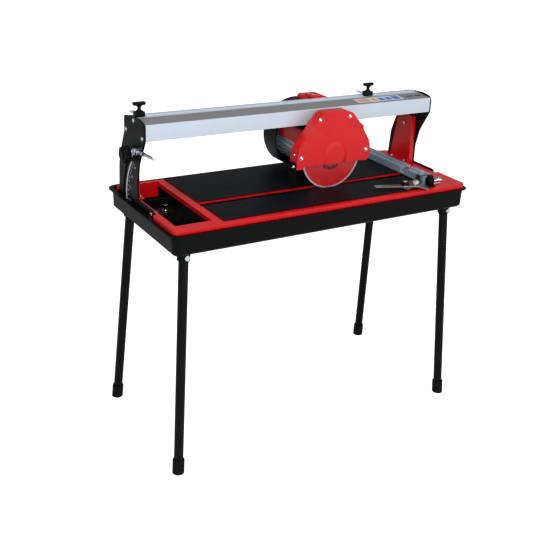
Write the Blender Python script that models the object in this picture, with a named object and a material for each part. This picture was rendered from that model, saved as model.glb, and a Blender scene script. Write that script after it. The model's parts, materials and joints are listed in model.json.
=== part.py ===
"""Bridge tile cutter on four legs: water tray, tile table, tilting guide rail and sliding saw head.

Units are metres, +Z is up. X runs along the guide rail, Y runs from the operator's side (-Y) to the
back. The origin is on the floor, under the middle of the tray.
"""
import math

import bmesh
import bpy
from mathutils import Matrix, Vector

# ---------------------------------------------------------------- driving dimensions
GAP = 0.0003                 # between pieces that touch
PLAY = 0.0008                # beside pieces that move past each other
STEP = 0.0002                # sets a welded sheet back, so that no two faces share a plane

# table frame and tile plates
TABLE_LENGTH = 0.966
TABLE_DEPTH = 0.420
FRAME_TOP = 0.720            # upper face of the red frame above the floor
FRAME_SHEET = 0.003
FRAME_SKIRT = 0.0127         # height of the frame's folded edge
SKIRT_WALL = 0.002
FRAME_CORNER = 0.016
DRAIN_GAP = 0.034            # open trough between the frame's back edge and the tray's back wall
PLATE_THICKNESS = 0.0025
PLATE_FRONT_STRIP = 0.015    # red strip left in front of the front plate
PLATE_BACK_STRIP = 0.0015
PLATE_RIGHT_STRIP = 0.105    # red area left at the right of the plates
CUT_Y = -0.060               # plane of the blade
SLOT_AHEAD = 0.0155          # slot in the frame ahead of the blade plane
SLOT_BEHIND = 0.010          # and behind it
SLOT_PLATE_STRIP = 0.002     # frame strip between the slot and the front plate
SLOT_LEDGE = 0.006           # frame strip that shows beside the slot, in front of the back plate

# reservoir opening in the left end of the frame
RESERVOIR_WIDTH = 0.104
RESERVOIR_SIDE_STRIP = 0.019
RESERVOIR_FRONT_STRIP = 0.033
RESERVOIR_BACK_STRIP = 0.047
RESERVOIR_WALL = 0.002
RESERVOIR_APRON = 0.012
RESERVOIR_BACK_APRON = 0.044
CROSS_STRIP = 0.025          # between the reservoir and the tile plates

# water tray
TRAY_DEPTH = 0.060
TRAY_WALL = 0.0025
TRAY_DRAFT = 0.003
TRAY_LIP = 0.011
TRAY_CORNER = 0.022
TRAY_BASE_CORNER = 0.014
TRAY_CHAMFER = 0.006           # slope between the wall and the bottom
DRAIN_RADIUS = 0.012
DRAIN_INSET_X = 0.180        # from the right end
DRAIN_INSET_Y = 0.090        # from the front
PUMP_SIZE = (0.052, 0.044, 0.028)
PUMP_Y = 0.044
NOZZLE_RADIUS = 0.006
NOZZLE_HEIGHT = 0.018

# legs
LEG_RADIUS = 0.0135
LEG_WALL = 0.0015
LEG_SPLAY = (0.037, 0.051)   # how far a foot stands outside its socket, along X and Y
LEG_SETBACK = (0.0445, 0.036)  # from the frame's outside to a leg's axis at the tray bottom
SOCKET_RADIUS = 0.018
SOCKET_DEPTH = 0.024
FOOT_RADIUS = 0.0172
FOOT_HEIGHT = 0.042
FOOT_FLOOR = 0.010
BOLT_RADIUS = 0.004
BOLT_HEAD_RADIUS = 0.0072
BOLT_HEAD = 0.0055
PIVOT_HEAD = 0.0030          # low heads, clear of the tray wall

# tilting head: side arms
ARM_INSET = 0.0107           # from the frame's end to an arm's inner face
ARM_THICKNESS = 0.005
PIVOT_DROP = 0.010           # tilt axis below the tile plates
TILT_RADIUS = 0.182          # from the tilt axis to the clamping stud
TILT_REST = 45.0             # angle of the stud above the horizontal, seen from the axis
TILT_RANGE = 45.0
ARC_HALF = 0.005             # half width of the curved slot
ARC_OVERRUN = 2.5            # degrees that the slot runs on past the stud's stops
SCALE_RADII = (0.1620, 0.1662)
SCALE_ANGLES = (-6.0, 41.0)
SCALE_THICKNESS = 0.0008

# brackets
BRACKET_DEPTHS = {-1: 0.0065, 1: 0.0155}  # from the inner web to the arm, at the left and right
BRACKET_SHEET = 0.003
BRACKET_FRONTS = {-1: 0.030, 1: 0.039}  # from the stud to the front edge at the foot
BRACKET_FOOT = 0.012
BRACKET_HEIGHT = 0.150

# guide rail
RAIL_FRONT = 0.0405          # rail's front face behind the blade plane
RAIL_DEPTH = 0.1315
RAIL_LIFT = 0.1727           # rail's underside above the tile plates
RAIL_FACE = 0.0438           # height of the front face
RAIL_RIDGE = 0.0500          # height of the ridge
RAIL_RIDGE_Y = 0.0835        # ridge behind the front face
RAIL_BACK_FACE = 0.0395
RAIL_WALL = 0.003
RAIL_CHAMBER = (0.0245, 0.1085)  # wheel chamber, from the front face
RAIL_SLOT = (0.0525, 0.0805)     # slot in the underside, from the front face
GROOVE = (0.0685, 0.0745)        # groove in the top, from the front face
GROOVE_DEPTH = 0.0055

# stop blocks on the rail
STOP_LENGTH = 0.025
STOP_HEIGHT = 0.0125
STOP_TAIL = 0.044               # thin tongue behind the block, which the carriage meets
STOP_TONGUE = 0.0026
STOP_LEFT_INSET = 0.011      # from the rail's left end to the block's middle
STOP_RIGHT_X = 0.282
STEM_RADIUS = 0.0048
STEM_HEIGHT = 0.013
TEE_SIZE = (0.036, 0.012, 0.012)

# saw head
BLADE_X = 0.085
BLADE_RADIUS = 0.100
BLADE_THICKNESS = 0.0022
BLADE_DIP = 0.009            # blade below the tile plates
BLADE_BORE = 0.0127
FLANGE_RADIUS = 0.025
FLANGE_THICKNESS = 0.005
SPINDLE_RADIUS = 0.0063
SHAFT_RADIUS = 0.008
NUT_RADIUS = 0.011
NUT_LENGTH = 0.007
GUARD_BEHIND = 0.018         # guard's back face behind the blade plane
GUARD_AHEAD = 0.018          # guard's front face ahead of the blade plane
GUARD_SHEET = 0.0017
FLAP_THICKNESS = 0.003
FLAP_CLEARANCE = 0.002
FLAP_HEEL = 0.006            # flap's lowest edge ends this far behind the blade plane

# carriage under the rail
TRUCK_LENGTH = 0.160
TRUCK_PLATE = 0.006
TRUCK_DROP = 0.008           # clearance between the rail's underside and the plate
HANGER_WIDTH = 0.020
WHEEL_RADIUS = 0.015
WHEEL_WIDTH = 0.012
WHEEL_BASE = 0.100
AXLE_RADIUS = 0.004

# motor and its covers
MOTOR_RADIUS = 0.62 * BLADE_RADIUS  # leaves room above the plates for the flat-bottomed cover
FIN_DEPTH = 0.006
FIN_COUNT = 24
MOTOR_FRONT = 0.030          # motor's front face behind the blade plane
MOTOR_BORE = 0.031
MOTOR_END_WALL = 0.010
ROTOR_RADIUS = 0.030
HOUSING_LENGTH = 0.050
HOUSING_SHEET = 0.0024       # front sheet of the housing, between the rail and the rear cover
HOOD_START = 0.022           # hood over the motor begins this far behind the motor's front face
COVER_RADIUS = 0.105
COVER_OFFSET = (0.023, 0.0080)  # rear cover's middle from the blade's axis
COVER_LENGTH = 0.082
COVER_WALL = 0.003
COVER_CLEARANCE = 0.0142     # cover's flat underside above the tile plates
SWITCH_SIZE = (0.017, 0.036, 0.052)
BUTTON_RADIUS = 0.007
BUTTON_STAND = 0.004
BUTTON_SPACING = 0.027

# stop rail for tiles and its angle stop
STOP_RAIL_WIDTH = 0.040
STOP_RAIL_HEIGHT = 0.020
STOP_RAIL_LENGTH = 0.325
STOP_RAIL_INSET = 0.088      # from the frame's right end
STOP_RAIL_FRONT = 0.045      # from the frame's front edge
CLAMP_SIZE = (0.024, 0.020, 0.019)
ANGLE_PIVOT = (-0.070, -0.020)  # from the stop rail's front left corner
ANGLE_RADIUS = 0.042
SADDLE_LENGTH = 0.020
SLIDE_KNOB_RADIUS = 0.008
ANGLE_ARM_LENGTH = 0.128
ANGLE_ARM_WIDTH = 0.018
ANGLE_ARM_REST = 162.7       # degrees, seen from above

# clamping knobs and lever
KNOB_RADIUS = 0.0235
KNOB_LENGTH = 0.028
STUD_RADIUS = 0.004
WASHER_RADIUS = 0.012
WASHER_THICKNESS = 0.002
LEVER_AT = (0.075, 0.1405)   # lever's axis behind the blade plane and above the tile plates
LEVER_LENGTH = 0.105
LEVER_RADIUS = 0.0042

# ---------------------------------------------------------------- derived places
HALF_LENGTH = TABLE_LENGTH / 2
HALF_DEPTH = TABLE_DEPTH / 2
FRAME_BACK = HALF_DEPTH - DRAIN_GAP
PLATE_BASE = FRAME_TOP + GAP
TABLE_TOP = PLATE_BASE + PLATE_THICKNESS
PIVOT_Z = TABLE_TOP - PIVOT_DROP
TRAY_TOP = FRAME_TOP - FRAME_SKIRT - GAP
TRAY_BOTTOM = TRAY_TOP - TRAY_DEPTH
ARM_INNER = HALF_LENGTH - ARM_INSET
ARM_OUTER = ARM_INNER + ARM_THICKNESS
WALL_OUTER = ARM_INNER - PLAY
RAIL_HALF = ARM_INNER - GAP
RAIL_Y = CUT_Y + RAIL_FRONT
RAIL_Z = TABLE_TOP + RAIL_LIFT
RIDGE_Z = RAIL_Z + RAIL_RIDGE
BLADE_Z = TABLE_TOP - BLADE_DIP + BLADE_RADIUS
RESERVOIR_X0 = -HALF_LENGTH + RESERVOIR_SIDE_STRIP
RESERVOIR_X1 = RESERVOIR_X0 + RESERVOIR_WIDTH
RESERVOIR_Y0 = -HALF_DEPTH + RESERVOIR_FRONT_STRIP
RESERVOIR_Y1 = HALF_DEPTH - RESERVOIR_BACK_STRIP
PLATE_X0 = RESERVOIR_X1 + CROSS_STRIP
PLATE_X1 = HALF_LENGTH - PLATE_RIGHT_STRIP
STUD_Y = CUT_Y + TILT_RADIUS * math.cos(math.radians(TILT_REST))
STUD_Z = PIVOT_Z + TILT_RADIUS * math.sin(math.radians(TILT_REST))
BRACKET_OUTER = WALL_OUTER
BRACKET_INNERS = {side: BRACKET_OUTER - depth for side, depth in BRACKET_DEPTHS.items()}
TRUCK_TOP = RAIL_Z - TRUCK_DROP
MOTOR_Y0 = CUT_Y + MOTOR_FRONT
HANGER_Y = RAIL_Y + (RAIL_SLOT[0] + RAIL_SLOT[1]) / 2
HOUSING_Y0 = RAIL_Y + RAIL_DEPTH + 0.0033
HOUSING_Y1 = HOUSING_Y0 + HOUSING_LENGTH
COVER_Y0 = HOUSING_Y0 + HOUSING_SHEET + GAP
COVER_X = BLADE_X + COVER_OFFSET[0]
COVER_Z = BLADE_Z + COVER_OFFSET[1]
STOP_RAIL_X1 = HALF_LENGTH - STOP_RAIL_INSET
STOP_RAIL_X0 = STOP_RAIL_X1 - STOP_RAIL_WIDTH
STOP_RAIL_Y0 = -HALF_DEPTH + STOP_RAIL_FRONT
STOP_RAIL_Z0 = TABLE_TOP + GAP
STOP_RAIL_Z1 = STOP_RAIL_Z0 + STOP_RAIL_HEIGHT

AXES = {"X": 0, "Y": 1, "Z": 2}

# ---------------------------------------------------------------- materials
PAINTS = {
    "red_paint": ((0.60, 0.012, 0.016), 0.35, 0.0),
    "black_paint": ((0.012, 0.013, 0.014), 0.45, 0.0),
    "black_plastic": ((0.010, 0.011, 0.012), 0.5, 0.0),
    "slate_coating": ((0.012, 0.018, 0.024), 0.4, 0.0),
    "aluminium": ((0.62, 0.65, 0.70), 0.35, 1.0),
    "cast_aluminium": ((0.35, 0.42, 0.48), 0.45, 1.0),
    "chrome": ((0.75, 0.76, 0.78), 0.12, 1.0),
    "steel": ((0.50, 0.50, 0.52), 0.3, 1.0),
    "rubber": ((0.014, 0.014, 0.014), 0.8, 0.0),
    "white_print": ((0.80, 0.82, 0.84), 0.5, 0.0),
    "green_plastic": ((0.02, 0.30, 0.06), 0.4, 0.0),
    "red_plastic": ((0.55, 0.01, 0.01), 0.4, 0.0),
}


def paint(piece, kind):
    """Give a piece its own material of one of the kinds above."""
    color, roughness, metallic = PAINTS[kind]
    material = bpy.data.materials.new(piece.name + "_" + kind)
    material.use_nodes = True
    shader = material.node_tree.nodes["Principled BSDF"]
    shader.inputs["Base Color"].default_value = (*color, 1.0)
    shader.inputs["Roughness"].default_value = roughness
    shader.inputs["Metallic"].default_value = metallic
    material.diffuse_color = (*color, 1.0)
    piece.data.materials.clear()
    piece.data.materials.append(material)


# ---------------------------------------------------------------- outlines
def rounded(corners, step=22.5):
    """Turn (u, v, radius) corners into points, with an arc at each corner that has a radius."""
    points = []
    count = len(corners)
    for index, (u, v, radius) in enumerate(corners):
        here = Vector((u, v))
        before = Vector(corners[index - 1][:2]) - here
        after = Vector(corners[(index + 1) % count][:2]) - here
        angle = before.angle(after)
        if radius <= 0.0 or abs(math.pi - angle) < 0.01:
            points.append((u, v))
            continue
        reach = min(radius / math.tan(angle / 2), 0.49 * before.length, 0.49 * after.length)
        radius = reach * math.tan(angle / 2)
        middle = here + (before.normalized() + after.normalized()).normalized() * (
            radius / math.sin(angle / 2))
        start = here + before.normalized() * reach - middle
        turn = math.pi - angle
        if start.x * (here + after.normalized() * reach - middle).y < start.y * (
                here + after.normalized() * reach - middle).x:
            turn = -turn
        pieces = max(2, round(abs(math.degrees(turn)) / step))
        for number in range(pieces + 1):
            swing = turn * number / pieces
            points.append((middle.x + start.x * math.cos(swing) - start.y * math.sin(swing),
                           middle.y + start.x * math.sin(swing) + start.y * math.cos(swing)))
    return points


def rectangle(u0, v0, u1, v1, radius=0.0):
    """Corners of a rectangle, all with the same radius."""
    return rounded([(u0, v0, radius), (u1, v0, radius), (u1, v1, radius), (u0, v1, radius)])


def circle(u, v, radius, count=24):
    """Points round a circle."""
    return [(u + radius * math.cos(2 * math.pi * i / count), v + radius * math.sin(2 * math.pi * i / count))
            for i in range(count)]


def arc_band(u, v, inner, outer, start, end, count=10):
    """Outline of a curved band between two radii and two angles in degrees."""
    turns = [math.radians(start + (end - start) * i / count) for i in range(count + 1)]
    outside = [(u + outer * math.cos(t), v + outer * math.sin(t)) for t in turns]
    inside = [(u + inner * math.cos(t), v + inner * math.sin(t)) for t in reversed(turns)]
    return outside + inside


# ---------------------------------------------------------------- solids
def piece_from(name, mesh_builder):
    """Close a bmesh's normals outwards and make it an object in the scene."""
    bmesh.ops.recalc_face_normals(mesh_builder, faces=mesh_builder.faces)
    mesh = bpy.data.meshes.new(name)
    mesh_builder.to_mesh(mesh)
    mesh_builder.free()
    piece = bpy.data.objects.new(name, mesh)
    bpy.context.collection.objects.link(piece)
    return piece


def spread(axis, along, u, v):
    """A point from its place along an axis and its place in the plane across it."""
    if axis == "X":
        return (along, u, v)
    if axis == "Y":
        return (u, along, v)
    return (u, v, along)


def prism(name, outline, axis, low, high):
    """Extrude a flat outline from low to high along an axis."""
    builder = bmesh.new()
    corners = [builder.verts.new(spread(axis, low, u, v)) for u, v in outline]
    face = builder.faces.new(corners)
    grown = bmesh.ops.extrude_face_region(builder, geom=[face])
    moved = [item for item in grown["geom"] if isinstance(item, bmesh.types.BMVert)]
    bmesh.ops.translate(builder, verts=moved, vec=spread(axis, high - low, 0.0, 0.0))
    return piece_from(name, builder)


def loft(name, rings):
    """Skin a row of rings that have the same number of points, with a face at either end."""
    builder = bmesh.new()
    loops = [[builder.verts.new(point) for point in ring] for ring in rings]
    for lower, upper in zip(loops, loops[1:]):
        for index in range(len(lower)):
            after = (index + 1) % len(lower)
            builder.faces.new((lower[index], lower[after], upper[after], upper[index]))
    builder.faces.new(loops[0])
    builder.faces.new(loops[-1])
    return piece_from(name, builder)


def box(name, low, high):
    """A block between two corners."""
    return prism(name, rectangle(low[0], low[1], high[0], high[1]), "Z", low[2], high[2])


def turned(name, profile, at, axis, count=24):
    """Spin (radius, height) points round a line that runs through a point along an axis."""
    builder = bmesh.new()
    corners = [builder.verts.new((radius, 0.0, height)) for radius, height in profile]
    edges = [builder.edges.new((corners[i], corners[i + 1])) for i in range(len(corners) - 1)]
    if profile[0][0] > 0.0:
        edges.append(builder.edges.new((corners[-1], corners[0])))
    bmesh.ops.spin(builder, geom=corners + edges, cent=(0, 0, 0), axis=(0, 0, 1), dvec=(0, 0, 0),
                   angle=2 * math.pi, steps=count, use_merge=True)
    bmesh.ops.remove_doubles(builder, verts=builder.verts, dist=0.000001)
    turn = Vector((0, 0, 1)).rotation_difference(Vector(axis)).to_matrix().to_4x4()
    bmesh.ops.transform(builder, matrix=Matrix.Translation(at) @ turn, verts=builder.verts)
    return piece_from(name, builder)


def rod(name, at, axis, radius, low, high, count=16):
    """A plain round bar."""
    return turned(name, [(0, low), (radius, low), (radius, high), (0, high)], at, axis, count)


def combine(piece, tools, operation):
    """Join tools to a piece or cut them from it, and leave one plain mesh."""
    for tool in tools:
        tool.hide_render = True
        tool.display_type = "WIRE"
        modifier = piece.modifiers.new(tool.name, "BOOLEAN")
        modifier.operation = operation
        modifier.solver = "EXACT"
        modifier.object = tool
    bpy.context.view_layer.update()
    seen = piece.evaluated_get(bpy.context.evaluated_depsgraph_get())
    mesh = bpy.data.meshes.new_from_object(seen)
    piece.modifiers.clear()
    old = piece.data
    piece.data = mesh
    bpy.data.meshes.remove(old)
    for tool in tools:
        bpy.data.objects.remove(tool)
    mesh.name = piece.name
    return piece


def cut(piece, *tools):
    """Cut tools from a piece."""
    return combine(piece, tools, "DIFFERENCE")


def join(piece, *tools):
    """Join tools to a piece."""
    return combine(piece, tools, "UNION")


def body(name, at, parent=None):
    """An empty on a joint's axis, which carries the pieces that move together."""
    empty = bpy.data.objects.new(name, None)
    bpy.context.collection.objects.link(empty)
    empty.empty_display_size = 0.03
    place = Vector(at)
    empty["place"] = list(place)
    if parent is None:
        empty.location = place
    else:
        empty.parent = parent
        empty.location = place - Vector(parent["place"])
    return empty


def put(piece, owner, kind, smooth=False):
    """Hang a piece on its body's empty without moving it, and paint it."""
    piece.data.transform(Matrix.Translation(-Vector(owner["place"])))
    piece.parent = owner
    paint(piece, kind)
    if smooth:
        piece.data.shade_smooth()
        piece.data.set_sharp_from_angle(angle=math.radians(35))
    return piece


# ---------------------------------------------------------------- stand: frame, plates, tray
def make_table_frame(stand):
    """The pressed red frame with its reservoir opening, blade slot and room for the two arms."""
    low = FRAME_TOP - FRAME_SKIRT
    frame = prism("table_frame",
                  rectangle(-HALF_LENGTH, -HALF_DEPTH, HALF_LENGTH, FRAME_BACK, FRAME_CORNER),
                  "Z", low, FRAME_TOP)
    hollow = prism("frame_hollow",
                   rectangle(-HALF_LENGTH + SKIRT_WALL, -HALF_DEPTH + SKIRT_WALL, HALF_LENGTH - SKIRT_WALL,
                             FRAME_BACK - SKIRT_WALL, FRAME_CORNER - SKIRT_WALL),
                   "Z", low - 0.01, FRAME_TOP - FRAME_SHEET)
    cut(frame, hollow)
    apron = prism("apron", rectangle(RESERVOIR_X0 - RESERVOIR_WALL, RESERVOIR_Y0 - RESERVOIR_WALL,
                                     RESERVOIR_X1 + RESERVOIR_WALL, RESERVOIR_Y1 + RESERVOIR_WALL),
                  "Z", FRAME_TOP - RESERVOIR_APRON, FRAME_TOP - 0.0005)
    back = box("back_apron",
               (RESERVOIR_X0 - RESERVOIR_WALL + STEP, RESERVOIR_Y1 - 0.001, FRAME_TOP - RESERVOIR_BACK_APRON),
               (RESERVOIR_X1 + RESERVOIR_WALL - STEP, RESERVOIR_Y1 + RESERVOIR_WALL - STEP,
                FRAME_TOP - 0.0005 - STEP))
    join(frame, apron, back)
    notch_y0 = CUT_Y - 0.024
    notch_y1 = CUT_Y + 0.224
    walls = []
    notches = []
    for side in (-1, 1):
        edges = sorted((side * (WALL_OUTER - 0.004), side * (WALL_OUTER - STEP)))
        walls.append(box("end_wall", (edges[0], notch_y0 - 0.008, FRAME_TOP - 0.036),
                         (edges[1], notch_y1 + 0.004, FRAME_TOP - 0.0007)))
        edges = sorted((side * WALL_OUTER, side * (HALF_LENGTH + 0.01)))
        notches.append(box("notch", (edges[0], notch_y0, low - 0.01),
                           (edges[1], notch_y1, FRAME_TOP + 0.01)))
    cut(frame, *notches)
    join(frame, *walls)
    opening = box("opening", (RESERVOIR_X0, RESERVOIR_Y0, FRAME_TOP - 0.1),
                  (RESERVOIR_X1, RESERVOIR_Y1, FRAME_TOP + 0.01))
    slot = box("slot", (PLATE_X0 - 0.003, CUT_Y - SLOT_AHEAD, FRAME_TOP - 0.05),
               (PLATE_X1, CUT_Y + SLOT_BEHIND, FRAME_TOP + 0.01))
    bores = [rod("pivot_bore", (0, CUT_Y, PIVOT_Z), (side, 0, 0), BOLT_RADIUS + GAP,
                 WALL_OUTER - 0.02, HALF_LENGTH + 0.01) for side in (-1, 1)]
    reliefs = [rod("nut_relief", (0, CUT_Y, PIVOT_Z), (side, 0, 0), BOLT_HEAD_RADIUS + PLAY,
                   WALL_OUTER - 0.016, WALL_OUTER - 0.004 + STEP) for side in (-1, 1)]
    cut(frame, opening, slot, *bores, *reliefs)
    put(frame, stand, "red_paint")


def make_plates(stand):
    """Two coated plates that the tiles lie on, either side of the blade slot."""
    back = box("table_plate_back", (PLATE_X0, CUT_Y + SLOT_BEHIND + SLOT_LEDGE, PLATE_BASE),
               (PLATE_X1, FRAME_BACK - PLATE_BACK_STRIP, TABLE_TOP))
    front = box("table_plate_front", (PLATE_X0, -HALF_DEPTH + PLATE_FRONT_STRIP, PLATE_BASE),
                (PLATE_X1, CUT_Y - SLOT_AHEAD - SLOT_PLATE_STRIP, TABLE_TOP))
    put(back, stand, "slate_coating")
    put(front, stand, "slate_coating")


def leg_line(side_x, side_y):
    """A leg's point at the tray bottom and its unit direction down to the floor."""
    top = Vector((side_x * (HALF_LENGTH - LEG_SETBACK[0]), side_y * (HALF_DEPTH - LEG_SETBACK[1]), TRAY_BOTTOM))
    foot = Vector((top.x + side_x * LEG_SPLAY[0], top.y + side_y * LEG_SPLAY[1], 0.0))
    return top, (foot - top).normalized()


CORNERS = {"front_left": (-1, -1), "front_right": (1, -1), "back_left": (-1, 1), "back_right": (1, 1)}


def make_tray(stand):
    """The black water tray with its outward lip, drain hole and four leg sockets."""
    top_x = HALF_LENGTH + 0.001
    top_y = HALF_DEPTH + 0.001
    base_x, base_y = top_x - TRAY_DRAFT, top_y - TRAY_DRAFT
    rings = (
        (base_x - TRAY_CHAMFER, base_y - TRAY_CHAMFER, TRAY_BASE_CORNER - 0.003, TRAY_BOTTOM),
        (base_x, base_y, TRAY_BASE_CORNER, TRAY_BOTTOM + TRAY_CHAMFER),
        (top_x, top_y, TRAY_CORNER, TRAY_TOP - TRAY_WALL),
        (top_x + TRAY_LIP, top_y + TRAY_LIP, TRAY_CORNER + TRAY_LIP, TRAY_TOP - TRAY_WALL),
        (top_x + TRAY_LIP, top_y + TRAY_LIP, TRAY_CORNER + TRAY_LIP, TRAY_TOP),
        (top_x - TRAY_WALL, top_y - TRAY_WALL, TRAY_CORNER - TRAY_WALL, TRAY_TOP),
        (base_x - TRAY_WALL, base_y - TRAY_WALL, TRAY_BASE_CORNER - TRAY_WALL,
         TRAY_BOTTOM + TRAY_CHAMFER + 0.001),
        (base_x - TRAY_CHAMFER - 0.001, base_y - TRAY_CHAMFER - 0.001, TRAY_BASE_CORNER - 0.004,
         TRAY_BOTTOM + TRAY_WALL),
    )
    tray = loft("water_tray", [[(x, y, height) for x, y in rectangle(-half_x, -half_y, half_x, half_y, radius)]
                               for half_x, half_y, radius, height in rings])
    sockets = []
    bores = []
    for name, (side_x, side_y) in CORNERS.items():
        top, down = leg_line(side_x, side_y)
        sockets.append(rod("socket_" + name, top, down, SOCKET_RADIUS, -TRAY_WALL * 0.4, SOCKET_DEPTH, 20))
        bores.append(rod("bore_" + name, top, down, LEG_RADIUS + GAP, 0.003, SOCKET_DEPTH + 0.01, 20))
        bolt_at, outward = leg_bolt_line(side_x, side_y)
        bores.append(rod("tap_" + name, bolt_at, outward, BOLT_RADIUS + GAP, 0.0, 0.03, 12))
    drain = rod("drain", (HALF_LENGTH - DRAIN_INSET_X, -HALF_DEPTH + DRAIN_INSET_Y, TRAY_BOTTOM),
                (0, 0, 1), DRAIN_RADIUS, -0.01, 0.01, 20)
    join(tray, *sockets)
    cut(tray, drain, *bores)
    put(tray, stand, "black_paint")


def leg_bolt_line(side_x, side_y):
    """A leg bolt's point on the leg's axis and its direction, square to the leg and outwards."""
    top, down = leg_line(side_x, side_y)
    outward = Vector((0, side_y, 0))
    outward -= down * outward.dot(down)
    return top + down * (SOCKET_DEPTH * 0.55), outward.normalized()


def make_legs(stand):
    """Four splayed tubes with their rubber feet and the bolts that hold them in the tray."""
    for name, (side_x, side_y) in CORNERS.items():
        top, down = leg_line(side_x, side_y)
        length = -top.z / down.z
        inner = LEG_RADIUS - LEG_WALL
        low = length - FOOT_FLOOR - 0.002
        profile = [(inner, 0.0035), (LEG_RADIUS, 0.0035), (LEG_RADIUS, low), (inner, low)]
        leg = turned("leg_" + name, profile, top, down, 20)
        put(leg, stand, "black_paint", smooth=True)
        foot = rod("foot_" + name, top, down, FOOT_RADIUS, length - FOOT_HEIGHT, length + 0.02, 20)
        bore = rod("foot_bore", top, down, LEG_RADIUS + GAP, 0.1, low + 0.0005, 20)
        floor = box("below_floor", (-1, -1, -0.2), (1, 1, 0.0))
        cut(foot, bore, floor)
        put(foot, stand, "rubber", smooth=True)
        at, outward = leg_bolt_line(side_x, side_y)
        seat = SOCKET_RADIUS + GAP
        profile = [(0, LEG_RADIUS + GAP), (BOLT_RADIUS, LEG_RADIUS + GAP), (BOLT_RADIUS, seat),
                   (BOLT_HEAD_RADIUS, seat), (BOLT_HEAD_RADIUS, seat + BOLT_HEAD), (0, seat + BOLT_HEAD)]
        put(turned("leg_bolt_" + name, profile, at, outward, 12), stand, "chrome")


def make_pump_and_plug(stand):
    """The small submersible pump in the reservoir and the plug of the drain hole."""
    middle_x = (RESERVOIR_X0 + RESERVOIR_X1) / 2 + 0.02
    floor = TRAY_BOTTOM + TRAY_WALL + GAP
    half_x, half_y = PUMP_SIZE[0] / 2, PUMP_SIZE[1] / 2
    pump = prism("pump_body", rectangle(middle_x - half_x, PUMP_Y - half_y, middle_x + half_x,
                                        PUMP_Y + half_y, 0.008), "Z", floor, floor + PUMP_SIZE[2])
    put(pump, stand, "black_plastic")
    seat = floor + PUMP_SIZE[2] + GAP
    nozzle = turned("pump_nozzle", [(NOZZLE_RADIUS - 0.0015, 0), (NOZZLE_RADIUS + 0.003, 0),
                                    (NOZZLE_RADIUS + 0.003, 0.004), (NOZZLE_RADIUS, 0.004),
                                    (NOZZLE_RADIUS, NOZZLE_HEIGHT), (NOZZLE_RADIUS - 0.0015, NOZZLE_HEIGHT)],
                    (middle_x, PUMP_Y - 0.006, seat), (0, 0, 1), 16)
    put(nozzle, stand, "chrome", smooth=True)
    at = (HALF_LENGTH - DRAIN_INSET_X, -HALF_DEPTH + DRAIN_INSET_Y, TRAY_BOTTOM)
    plug = turned("drain_plug", [(0, -0.006), (DRAIN_RADIUS + 0.005, -0.006), (DRAIN_RADIUS + 0.005, -GAP),
                                 (DRAIN_RADIUS - GAP, -GAP), (DRAIN_RADIUS - GAP, 0.006), (0, 0.006)],
                  at, (0, 0, 1), 20)
    put(plug, stand, "rubber", smooth=True)


def make_brackets(stand):
    """The two tapered red brackets that stand on the frame and hold the clamping studs."""
    low = FRAME_TOP + GAP
    top = low + BRACKET_HEIGHT
    sheet = BRACKET_SHEET
    for name, side in (("bracket_left", -1), ("bracket_right", 1)):
        web = BRACKET_INNERS[side]
        foot_y = (STUD_Y - BRACKET_FRONTS[side], STUD_Y + 0.059)
        head_y = (foot_y[0] + 0.008, STUD_Y + 0.035)
        outline = rounded([(foot_y[0], low, 0), (foot_y[1], low, 0), (head_y[1], top, 0.010),
                           (head_y[0], top, 0.010)])
        inside = rounded([(foot_y[0] + sheet, low - 0.001, 0), (foot_y[1] - sheet, low - 0.001, 0),
                          (head_y[1] - sheet, top - sheet, 0.007), (head_y[0] + sheet, top - sheet, 0.007)])
        bracket = prism(name, outline, "X", *sorted((side * web, side * BRACKET_OUTER)))
        cut(bracket, prism("bracket_hollow", inside, "X",
                           *sorted((side * (web + sheet), side * (BRACKET_OUTER + 0.01)))))
        edges = sorted((side * (web + 0.001), side * (web - BRACKET_FOOT)))
        foot = box("bracket_foot", (edges[0], foot_y[0], low), (edges[1], foot_y[1], low + sheet))
        join(bracket, foot)
        cut(bracket, rod("stud_bore", (0, STUD_Y, STUD_Z), (side, 0, 0), STUD_RADIUS + GAP,
                         web - 0.01, BRACKET_OUTER + 0.01))
        put(bracket, stand, "red_paint")


def make_pivot_bolts(stand):
    """The bolts that the arms turn on, level with the tile plates in the plane of the blade."""
    for name, side in (("pivot_bolt_left", -1), ("pivot_bolt_right", 1)):
        inside = WALL_OUTER - 0.004 - GAP
        seat = ARM_OUTER + GAP
        profile = [(0, inside - 0.006), (BOLT_HEAD_RADIUS, inside - 0.006), (BOLT_HEAD_RADIUS, inside),
                   (BOLT_RADIUS, inside), (BOLT_RADIUS, seat), (BOLT_HEAD_RADIUS, seat),
                   (BOLT_HEAD_RADIUS, seat + PIVOT_HEAD), (0, seat + PIVOT_HEAD)]
        bolt = turned(name, profile, (0, CUT_Y, PIVOT_Z), (side, 0, 0), 12)
        put(bolt, stand, "chrome")


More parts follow.
